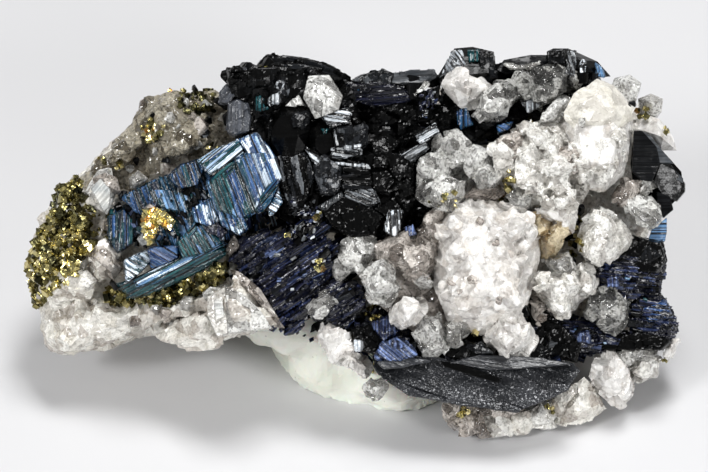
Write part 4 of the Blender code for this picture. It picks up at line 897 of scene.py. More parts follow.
def upper_milky():
    piece = Piece("upper_milky_quartz_mass", "milky_quartz", ["upper_milky_quartz"],
                  ["milky", "clear", "smoky", "cream", "pale"])
    chance = random.Random(22)
    big = [(12.6, 7.5), (13.2, 8.3), (14.5, 9.3), (15.5, 9.3), (16.3, 8.7), (17.0, 7.5), (16.9, 5.6),
           (16.5, 3.8), (15.2, 2.6), (13.2, 3.0), (12.2, 5.4)]
    lower = [(8.4, 4.8), (8.5, 5.8), (10.6, 7.0), (12.4, 7.4), (13.8, 6.0), (14.2, 4.0), (13.8, 2.0),
             (12.8, 1.1), (11.0, 1.6), (9.3, 3.0)]
    piece.add_mass([shard(big, [(13.6, 7.4), (15.4, 8.0), (16.0, 6.0), (15.6, 4.4), (13.9, 4.6)], 3.0, 3.5,
                          0.2)], 0.1, smooth_quartz_amount)
    rough = [(8.6, 5.0), (10.6, 6.8), (12.4, 7.0), (13.6, 6.2), (16.6, 6.0), (16.2, 3.6), (13.8, 2.2),
             (12.8, 1.3), (11.0, 1.8), (9.3, 3.2)]
    solids = [shard(lower, [(9.8, 5.2), (12.0, 6.0), (12.6, 3.4), (11.0, 3.0)], 2.1, 3.0, 0.2)]
    solids += standing(rough, 0.75, (0.3, 0.65), (0.1, 0.5), 1.2, 0.6, chance, ["upper_milky_quartz"])
    piece.add_mass(solids, 0.08, crystal_amount, 4, (0.2, 0.9), 0.8)
    add_crystals(piece, [
        (2, [(8.3, 5.2), (8.9, 6.1), (10.1, 6.7), (10.7, 5.8), (10.5, 4.3), (9.4, 3.9), (8.5, 4.3)], 2.3, 0.9),
        (2, [(11.6, 4.4), (12.2, 5.4), (13.7, 5.6), (14.1, 5.0), (13.5, 3.9), (12.2, 3.7)], 2.75, 1.9),
        (1, [(11.1, 6.8), (11.6, 7.5), (12.4, 8.4), (13.2, 8.5), (12.7, 7.5), (12.5, 6.9), (11.8, 6.7)], 2.2, 0.7)], chance)
    creamy = [(12.7, 7.5), (13.4, 8.7), (14.8, 9.6), (15.8, 9.2), (16.9, 7.8), (17.0, 7.0), (15.7, 6.3), (13.7, 6.2),
              (12.8, 7.0)]
    piece.add_mass([shard(creamy, middle_table(creamy, 0.5), 3.3, 1.8, 2.4)], 0.08, smooth_quartz_amount, 3,
                   (0.3, 0.8), 0.7)
    piece.finish()


def quartz_groups():
    chance = random.Random(23)
    piece = Piece("grey_quartz_crystals", "clear_quartz", ["grey_quartz_group"], ["clear", "smoky", "milky"])
    for root, tip, radius, seed in [((5.6, 3.4, -1.0), (4.1, 4.6, 2.3), 1.15, 101),
                                    ((6.6, 4.4, -1.0), (5.8, 5.7, 2.5), 1.25, 102),
                                    ((6.4, 2.9, -1.0), (5.3, 2.5, 2.6), 1.2, 103),
                                    ((7.8, 4.0, -1.0), (7.5, 5.0, 2.5), 1.05, 104),
                                    ((4.9, 2.6, -1.0), (4.5, 2.9, 1.8), 1.05, 105),
                                    ((8.2, 3.2, -0.6), (8.0, 3.8, 2.4), 0.9, 106)]:
        piece.add_mass([chipped(quartz(root, tip, radius, seed), chance, 3, 0.15)], 0.07, crystal_amount, 0,
                       (0.3, 0.9), 0.5)
    strip = [(6.4, 2.3), (7.3, 3.1), (8.9, 3.3), (9.3, 2.6), (8.6, 2.1), (7.2, 2.2)]
    piece.add(shard(strip, [(7.6, 2.8), (8.7, 2.9)], 2.0, 2.0, 0.2), 1)
    piece.finish()

    piece = Piece("hexagonal_quartz", "milky_quartz", ["hexagonal_quartz_crystal"], ["clear"])
    outline = [(-3.1, 8.4), (-2.8, 9.75), (-1.5, 9.8), (-0.65, 8.5), (-0.95, 7.6), (-2.35, 7.1)]
    piece.add(shard(outline, middle_table(outline, 0.6), 1.95, 2.4, 1.5), 0, 0.6, UP, 0.05, 0.6)
    piece.finish()

    piece = Piece("upper_edge_quartz_crystals", "clear_quartz", ["upper_edge_quartz"],
                  ["clear", "milky", "grey"])
    creamy = [(5.2, 9.2), (6.9, 10.5), (7.3, 9.7), (8.4, 9.0), (7.2, 7.9), (6.3, 7.8)]
    piece.add_mass([chipped(shard(creamy, [(6.3, 9.1), (7.2, 9.0), (6.6, 8.4)], 1.9, 2.2, 0.2), chance, 4, 0.15)],
                   0.07, crystal_amount, 1, (0.3, 0.9), 0.5)
    for root, tip, radius, seed in [((8.6, 8.3, -1.2), (8.3, 7.7, 1.9), 1.1, 111),
                                    ((9.2, 8.6, -1.2), (9.3, 8.8, 1.7), 1.05, 112),
                                    ((10.4, 9.0, -1.2), (10.2, 9.3, 1.9), 1.1, 113),
                                    ((11.8, 9.3, -1.2), (11.9, 9.4, 1.9), 1.2, 114),
                                    ((11.4, 8.6, -1.2), (11.5, 8.7, 1.9), 1.0, 115),
                                    ((13.2, 9.1, -1.4), (13.2, 9.3, 0.9), 0.7, 116)]:
        piece.add_mass([chipped(quartz(root, tip, radius, seed), chance, 3, 0.15)], 0.07, crystal_amount,
                       0 if seed == 111 else 2,
                       (0.3, 0.9), 0.5)
    piece.finish()

    piece = Piece("corner_quartz_crystals", "clear_quartz", ["corner_quartz"], ["clear", "smoky", "milky"])
    piece.add(quartz((16.5, 8.6, -2.0), (16.5, 9.2, 0.9), 0.95, 121), 0)
    piece.add(quartz((17.9, 7.6, -2.4), (18.1, 8.1, 0.5), 0.85, 122), 0)
    corner = [(17.2, 6.6), (17.7, 7.4), (18.6, 7.1), (19.4, 6.0), (19.6, 5.2), (18.6, 5.2), (18.0, 5.9)]
    piece.add(chipped(shard(corner, [(18.1, 6.6), (18.8, 5.9)], 1.0, 2.4, -0.4), chance, 4, 0.15), 2, 0.6, UP, 0.04,
              0.5)
    piece.finish()

    singles = [
        ("right_pale_quartz", "milky_quartz", "pale",
         [(13.6, 0.0), (14.2, 1.9), (15.0, 2.2), (15.8, 1.8), (16.5, 0.6), (17.0, -0.3), (16.6, -0.7),
          (15.8, -1.6), (15.2, -2.0), (14.3, -1.8), (13.7, -1.0)],
         [(14.6, 1.0), (15.4, 0.9), (15.6, -0.4), (14.6, -1.0)], 2.3, 2.4, 0.3),
        ("right_clear_quartz", "clear_quartz", "clear",
         [(16.5, 2.1), (18.1, 2.65), (18.7, 1.9), (18.8, 1.1), (18.0, 0.45), (17.2, 0.55)],
         [(17.1, 1.8), (18.2, 2.0), (18.3, 1.1), (17.4, 0.9)], 2.6, 2.4, 0.9),
        ("grey_hexagonal_quartz", "clear_quartz", "grey",
         [(13.9, -4.7), (14.4, -3.6), (15.2, -3.2), (16.4, -3.3), (17.0, -4.0), (17.1, -4.7), (16.6, -5.6),
          (15.6, -6.0), (14.7, -5.7)], [(14.8, -4.2), (16.0, -4.1), (16.2, -4.9), (15.0, -5.0)],
         2.2, 2.2, 0.6),
        ("pale_quartz_lump", "milky_quartz", "clear",
         [(-1.0, -1.8), (-0.6, -0.4), (0.0, 0.1), (1.2, -0.3), (1.4, -0.8), (0.8, -1.6), (0.0, -2.1)],
         [(-0.2, -0.6), (0.7, -0.8), (0.2, -1.3)], 1.5, 1.5, 0.2),
        ("brown_quartz_crystal", "clear_quartz", "smoky",
         [(10.9, -3.2), (11.3, -3.4), (11.9, -4.6), (12.4, -5.0), (11.2, -5.5), (10.7, -4.9), (10.6, -3.9)],
         [(11.2, -4.2), (11.4, -4.9)], 1.1, 1.6, 0.2),
    ]
    for node, slot, material, outline, table, rise, depth, rim in singles:
        piece = Piece(node + "_crystal" if not node.endswith("crystal") else node + "_body", slot, [node],
                      [material])
        solid = chipped(shard(outline, table, rise, depth, rim), chance, 5, 0.16)
        piece.add_mass([solid], 0.06, crystal_amount, 0, (0.3, 0.9), 0.5)
        piece.finish()

    piece = Piece("star_quartz_crystals", "milky_quartz", ["star_quartz"], ["milky", "pale"])
    star = [(10.8, -2.9), (11.4, -2.1), (12.6, -2.0), (13.5, -2.1), (13.9, -2.8), (13.5, -4.5), (12.7, -5.0),
            (11.9, -4.6), (11.3, -3.6)]
    thin = [(13.7, -1.9), (14.2, -1.7), (14.6, -2.8), (14.3, -3.5), (13.4, -4.2), (13.2, -3.4)]
    piece.add_mass([chipped(shard(star, [(11.9, -2.9), (12.9, -2.8), (12.6, -3.9)], 2.1, 2.0, 0.4), chance, 5, 0.2),
                    quartz((12.0, -3.0, 0.0), (11.3, -2.6, 2.4), 0.7, 131),
                    quartz((12.8, -3.4, 0.0), (13.2, -2.6, 2.4), 0.75, 132),
                    quartz((12.4, -4.0, 0.0), (12.6, -4.6, 2.2), 0.7, 133)], 0.06, crystal_amount, 1)
    piece.add_mass([shard(thin, [(14.0, -2.6)], 1.7, 1.6, 0.3)], 0.065, crystal_amount)
    piece.finish()

    piece = Piece("lower_corner_quartz_crystals", "milky_quartz", ["lower_corner_quartz"],
                  ["milky", "pale", "clear", "rock"])
    add_crystals(piece, [
        (1, [(14.6, -7.2), (17.0, -6.8), (19.3, -6.4), (19.2, -7.4), (17.4, -8.3), (15.2, -9.4)], -0.2, -0.6),
        (0, [(14.3, -7.1), (14.7, -6.8), (15.7, -6.9), (16.4, -7.7), (16.9, -9.1), (17.0, -9.8), (16.3, -10.5), (15.6, -10.5), (14.4, -9.1)],
         1.6, 0.5),
        (3, [(11.9, -10.2), (12.8, -8.9), (14.0, -8.5), (14.7, -9.2), (14.8, -10.9), (13.7, -11.7), (12.4, -11.1)], 1.2, 0.3),
        (3, [(14.3, -9.4), (14.7, -9.5), (15.4, -10.5), (14.6, -10.9), (14.2, -10.8)], 0.9, 0.2),
        (2, [(15.9, -7.2), (16.6, -6.7), (17.6, -6.8), (17.6, -7.7), (16.4, -7.9)], 1.2, 0.3),
        (1, [(16.5, -7.9), (17.1, -7.2), (18.3, -7.4), (18.4, -8.5), (17.3, -8.7)], 0.9, 0.2),
        (0, [(18.8, -7.8), (18.9, -6.7), (19.3, -6.1), (19.9, -6.2), (19.7, -6.9), (19.1, -7.7)], 0.7, 0.0)], chance)
    piece.finish()

    piece = Piece("bottom_quartz_crystals", "clear_quartz", ["bottom_quartz"], ["smoky", "pale", "rock"])
    add_crystals(piece, [
        (0, [(5.4, -10.2), (6.6, -10.8), (7.8, -10.9), (7.9, -12.1), (7.1, -12.4), (5.8, -11.6)], 1.2, 0.4),
        (0, [(6.6, -10.3), (7.7, -10.4), (8.6, -12.4), (7.7, -12.4), (7.0, -11.5)], 1.5, 0.6),
        (1, [(7.7, -10.7), (8.8, -10.5), (9.8, -11.4), (9.6, -12.2), (8.4, -12.5), (7.8, -11.7)], 1.4, 0.5),
        (2, [(9.4, -10.8), (10.6, -10.7), (11.3, -11.2), (10.8, -11.9), (9.8, -12.1), (9.6, -11.5)], 1.3, 0.4),
        (1, [(10.7, -10.7), (11.8, -10.1), (12.3, -10.9), (11.5, -11.5), (11.0, -11.7)], 1.1, 0.3),
        (0, [(5.7, -10.1), (11.8, -9.9), (11.8, -10.9), (8.6, -11.5), (6.0, -10.9)], 0.9, 0.1)], chance)
    piece.finish()


# Vivianite

def slanting(degrees):
    """The direction on the display face at this angle, counted from across towards up."""
    return ACROSS * math.cos(math.radians(degrees)) + UP * math.sin(math.radians(degrees))


def infill(piece, region, spacing, size, heading, spread, materials, chance, lift=0.15, long=1.8, sink=0.2,
           domain=1.5, tones=(0.0, 1.0)):
    """Laths that cover the dark ground; those of one domain grow side by side in one direction."""
    for across, up in spots(region, spacing, chance):
        found = SIGHT.at(across, up)
        if found is None or is_quartz(found[2]) or found[2].startswith("pyrite"):
            continue
        _, centres = noise.voronoi(Vector((across, up, 0.0)) / domain)
        own = noise.cell_vector(centres[0] * 37.0) * 2.0 - Vector((1.0, 1.0, 1.0))
        above = (found[0] - FACE_CENTRE).dot(OUT) - dome(across, up)
        point = found[0] + OUT * (chance.uniform(-lift, lift) - sink - max(0.0, above - 0.7))
        way = (slanting(heading + own.x * spread + chance.gauss(0.0, 2.0)) + OUT * own.y * 0.35).normalized()
        wide = chance.uniform(*size)
        reach = wide * long * chance.uniform(0.5, 1.0)
        solid = box_between(point - way * reach * 0.5, point + way * reach * 0.5, wide,
                            wide * chance.uniform(0.4, 0.9), own.z * 0.6 + chance.gauss(0.0, 0.05),
                            chance.uniform(-0.4, 0.4))
        piece.add(solid, chance.choice(materials), chance.uniform(*tones), way.cross(OUT), wide * 0.05)


def blue_crystal():
    piece = Piece("blue_vivianite_plates", "blue_vivianite", ["blue_vivianite_crystal"],
                  ["blue", "indigo", "painted_reflection", "black", "clear"])
    chance = random.Random(31)
    # Tones near 1 in these lists are painted highlights: near-white stripes where the plates would mirror the lamps;
    # the lower tones are the plates' own teal and blue.
    for outline, lift, slope, heading, pitch, tones in [
            ([(-7.2, 4.5), (-6.4, 5.0), (-5.2, 5.0), (-4.5, 3.8), (-4.7, 3.2), (-5.5, 1.8), (-5.8, 1.6)], 2.1, (0.0, -0.1),
             21.4, 0.13, [0.55, 0.25, 0.98, 0.62, 0.45, 0.6, 1.0, 0.55, 0.3, 0.9]),
            ([(-5.4, 4.6), (-4.8, 4.7), (-4.4, 3.6), (-5.3, 2.5), (-6.0, 1.7)], 2.2, (-0.1, -0.1), 21.4, 0.12,
             [1.0, 0.98, 0.7, 0.95, 0.5]),
            ([(-8.8, 3.2), (-7.1, 4.5), (-5.8, 1.7), (-6.8, 1.1), (-8.3, 1.6)], 1.95, (0.05, -0.1), 21.4, 0.22,
             [0.2, 0.22, 0.12, 0.26, 0.2, 0.15, 0.5, 0.75]),
            ([(-9.4, 4.6), (-8.3, 5.3), (-7.0, 5.8), (-6.7, 5.0), (-7.7, 4.5), (-8.7, 3.8)], 2.0, (0.0, 0.1), 130, 0.14,
             [0.95, 0.2, 1.0, 0.85, 0.25, 1.0, 0.6]),
            ([(-7.0, 5.8), (-5.9, 6.2), (-5.2, 5.4), (-4.8, 4.7), (-6.3, 4.9)], 1.95, (0.0, -0.2), 25, 0.16,
             [1.0, 0.6, 0.95, 0.5, 0.85, 0.35]),
            ([(-5.8, 2.3), (-5.2, 3.1), (-4.6, 3.5), (-4.6, 3.1), (-5.1, 2.0), (-5.5, 1.6)], 2.45, (0.1, -0.2), 140, 0.16,
             [0.1, 0.3, 0.45, 0.1]),
            ([(-5.2, 1.7), (-4.6, 2.8), (-4.4, 2.0), (-4.8, 1.4), (-5.1, 1.3)], 2.3, (0.1, -0.3), 60, 0.16,
             [1.0, 0.9, 0.3]),
            ([(-11.3, 3.6), (-10.5, 4.3), (-9.5, 4.6), (-9.1, 4.2), (-9.5, 3.1), (-10.6, 2.9)], 1.4, (0.0, -0.15), 20, 0.1,
             [0.0, 0.05, 0.5, 0.02, 0.35, 0.0, 0.1]),
            ([(-8.7, 3.2), (-8.1, 4.2), (-7.3, 4.5), (-7.2, 4.1), (-8.3, 2.8)], 2.05, (0.1, -0.1), 130, 0.16,
             [0.1, 0.2, 0.12]),
            ([(-8.3, 1.7), (-6.7, 1.1), (-6.5, 0.5), (-7.0, 0.1), (-8.1, 0.7)], 1.7, (0.0, -0.3), 21, 0.12,
             [0.9, 0.3, 0.7, 0.4, 0.1]),
            ([(-9.8, 1.7), (-8.6, 2.3), (-8.2, 0.9), (-8.8, 0.6), (-9.7, 0.9)], 1.5, (0.1, -0.2), 15, 0.12,
             [0.5, 0.75, 0.3, 0.95, 0.4]),
            ([(-10.7, -0.4), (-9.9, 0.5), (-9.0, 0.7), (-8.1, -0.4), (-9.0, -1.0), (-10.4, -1.3)], 1.5, (0.0, -0.2), 30, 0.16,
             [0.2, 0.25, 0.12, 0.7, 0.18]),
            ([(-12.4, 2.8), (-10.8, 2.8), (-9.9, 2.3), (-10.1, 1.4), (-11.5, 1.7), (-12.5, 2.2)], 1.2, (0.0, -0.2), 20, 0.12,
             [0.05, 0.3, 0.62, 0.1, 0.75]),
            ([(-14.9, 1.1), (-14.0, 1.6), (-13.3, 0.9), (-13.5, -0.4), (-14.4, -1.0), (-14.9, -0.1)], 1.0, (-0.1, -0.1), 0, 0.12,
             [0.05, 0.22, 0.1, 0.5, 0.02])]:
        striated(piece, facet(outline, lift, slope, 1.2), heading, pitch, 0, tones, 60.0, 0.15)
    middle = [(-12.8, 2.2), (-10.2, 2.9), (-6.4, 2.0), (-6.7, 0.9), (-8.8, -0.7), (-11.6, -0.7), (-14.6, 0.6),
              (-14.9, 1.6)]
    striated(piece, shard(middle, [(-11.6, 1.8), (-8.0, 1.6), (-9.4, 0.0), (-12.6, 0.5)], 0.9, 2.4, 0.1), 20, 0.2, 0,
             [0.05, 0.3, 0.1, 0.5, 0.02, 0.7, 0.2])
    striated(piece, facet([(-14.0, 2.3), (-12.4, 3.2), (-10.8, 3.8), (-9.5, 4.4), (-8.3, 3.2), (-8.1, 1.4), (-10.1, 0.7), (-12.4, 0.9)], 0.75,
                          (0.0, 0.0), 1.6, 1.05), 21, 0.2, 0, [0.02, 0.3, 0.1, 0.5, 0.05, 0.0, 0.65], 10.0)
    # Some laths below take the top tones, which are painted highlights, and material 2, whose faces are painted
    # reflections.
    near_plate = [(-9.6, 2.8), (-5.2, 1.9), (-4.6, 1.0), (-6.4, 0.2), (-8.6, -0.8), (-10.4, -0.4)]
    infill(piece, near_plate, 0.45, (0.2, 0.4), -68, 20, [0, 0, 0, 1], chance, 0.15, 2.6, 0.0, 1.0)
    far_left = [(-14.8, 1.4), (-12.6, 2.8), (-9.6, 2.8), (-10.4, -0.4), (-12.0, -0.8), (-13.4, -0.6)]
    infill(piece, far_left, 0.4, (0.2, 0.42), -70, 60, [0, 1, 3, 2], chance, 0.2, 1.5, 0.0, 0.8)
    shards = [(-12.8, 2.4), (-9.8, 3.4), (-8.2, 2.0), (-5.6, 1.6), (-5.2, 0.6), (-8.6, -0.6), (-11.8, -0.6), (-13.6, 0.8)]
    infill(piece, shards, 0.55, (0.12, 0.3), -68, 30, [0, 2, 3, 3], chance, 0.1, 2.6, -0.3, 0.7, (0.0, 0.9))
    piece.finish()

    piece = Piece("blue_vivianite_lower_blade", "blue_vivianite", ["blue_vivianite_blade"],
                  ["blue", "indigo", "painted_reflection"])
    # Tones near 1 in these lists are painted highlights: near-white stripes where the blade would mirror the lamps.
    for outline, lift, slope, heading, pitch, tones in [
            ([(-13.9, -1.5), (-13.1, -1.1), (-12.5, -0.9), (-12.3, -1.5), (-13.1, -2.3), (-13.8, -2.8), (-13.5, -2.0)], 1.7, (0.1, -0.2), 60, 0.1,
             [0.98, 0.3, 0.95, 0.1, 1.0, 0.9]),
            ([(-12.5, -0.9), (-12.2, -0.7), (-10.7, -0.6), (-10.7, -1.3), (-11.7, -1.8), (-12.3, -1.9)], 1.72, (0.0, -0.2), 60, 0.2,
             [0.45, 0.55, 0.4, 0.62]),
            ([(-13.3, -2.6), (-11.7, -1.8), (-10.4, -1.3), (-8.3, -0.5), (-8.0, -0.6), (-10.1, -1.9), (-11.9, -2.8), (-13.1, -3.0)], 1.5,
             (0.0, 0.2), 118, 0.12, [0.75, 0.25, 0.95, 0.3, 0.2]),
            ([(-14.2, -2.9), (-13.1, -2.8), (-11.3, -2.4), (-8.1, -0.8), (-7.9, -1.1), (-9.5, -2.2), (-12.4, -3.5), (-13.6, -3.7)], 1.1,
             (0.0, 0.5), 118, 0.2, [0.08, 0.2, 0.1, 0.15]),
            ([(-10.1, 0.1), (-9.7, 0.9), (-9.5, 0.5), (-10.3, -0.6), (-10.6, -1.0)], 1.6, (0.1, -0.1), 140, 0.2, [0.15, 0.1, 0.3])]:
        striated(piece, facet(outline, lift, slope, 1.2), heading, pitch, 0, tones, 60.0, 0.15)
    piece.add_mass([facet([(-9.1, 0.5), (-8.3, 0.8), (-7.8, 0.3), (-8.1, -0.1), (-9.0, 0.3)], 1.7, (0.0, -0.2))], 0.06,
                   broken(0.4, 0.2), 1, (0.2, 0.6), 0.3)
    piece.finish()


def striated(piece, solid, heading, pitch, material, tones, stretch=12.0, depth=0.4):
    """Adds a crystal whose surface is drawn out in fine lines across the heading."""
    way = slanting(heading + 90.0)
    piece.add_mass([solid], 0.07, grown(way, pitch * 1.7, depth, stretch), material, tones, pitch * 1.3, way, stretch)


def add_facets(piece, table):
    for outline, lift, slope, material, tones, heading, pitch in table:
        solid = facet(outline, lift, slope, 0.75)
        if heading is None:
            piece.add_mass([solid], 0.085, broken(0.8, 0.16), material, (tones[0] * 0.7, tones[0]), 0.3)
        else:
            striated(piece, solid, heading, pitch, material, tones)


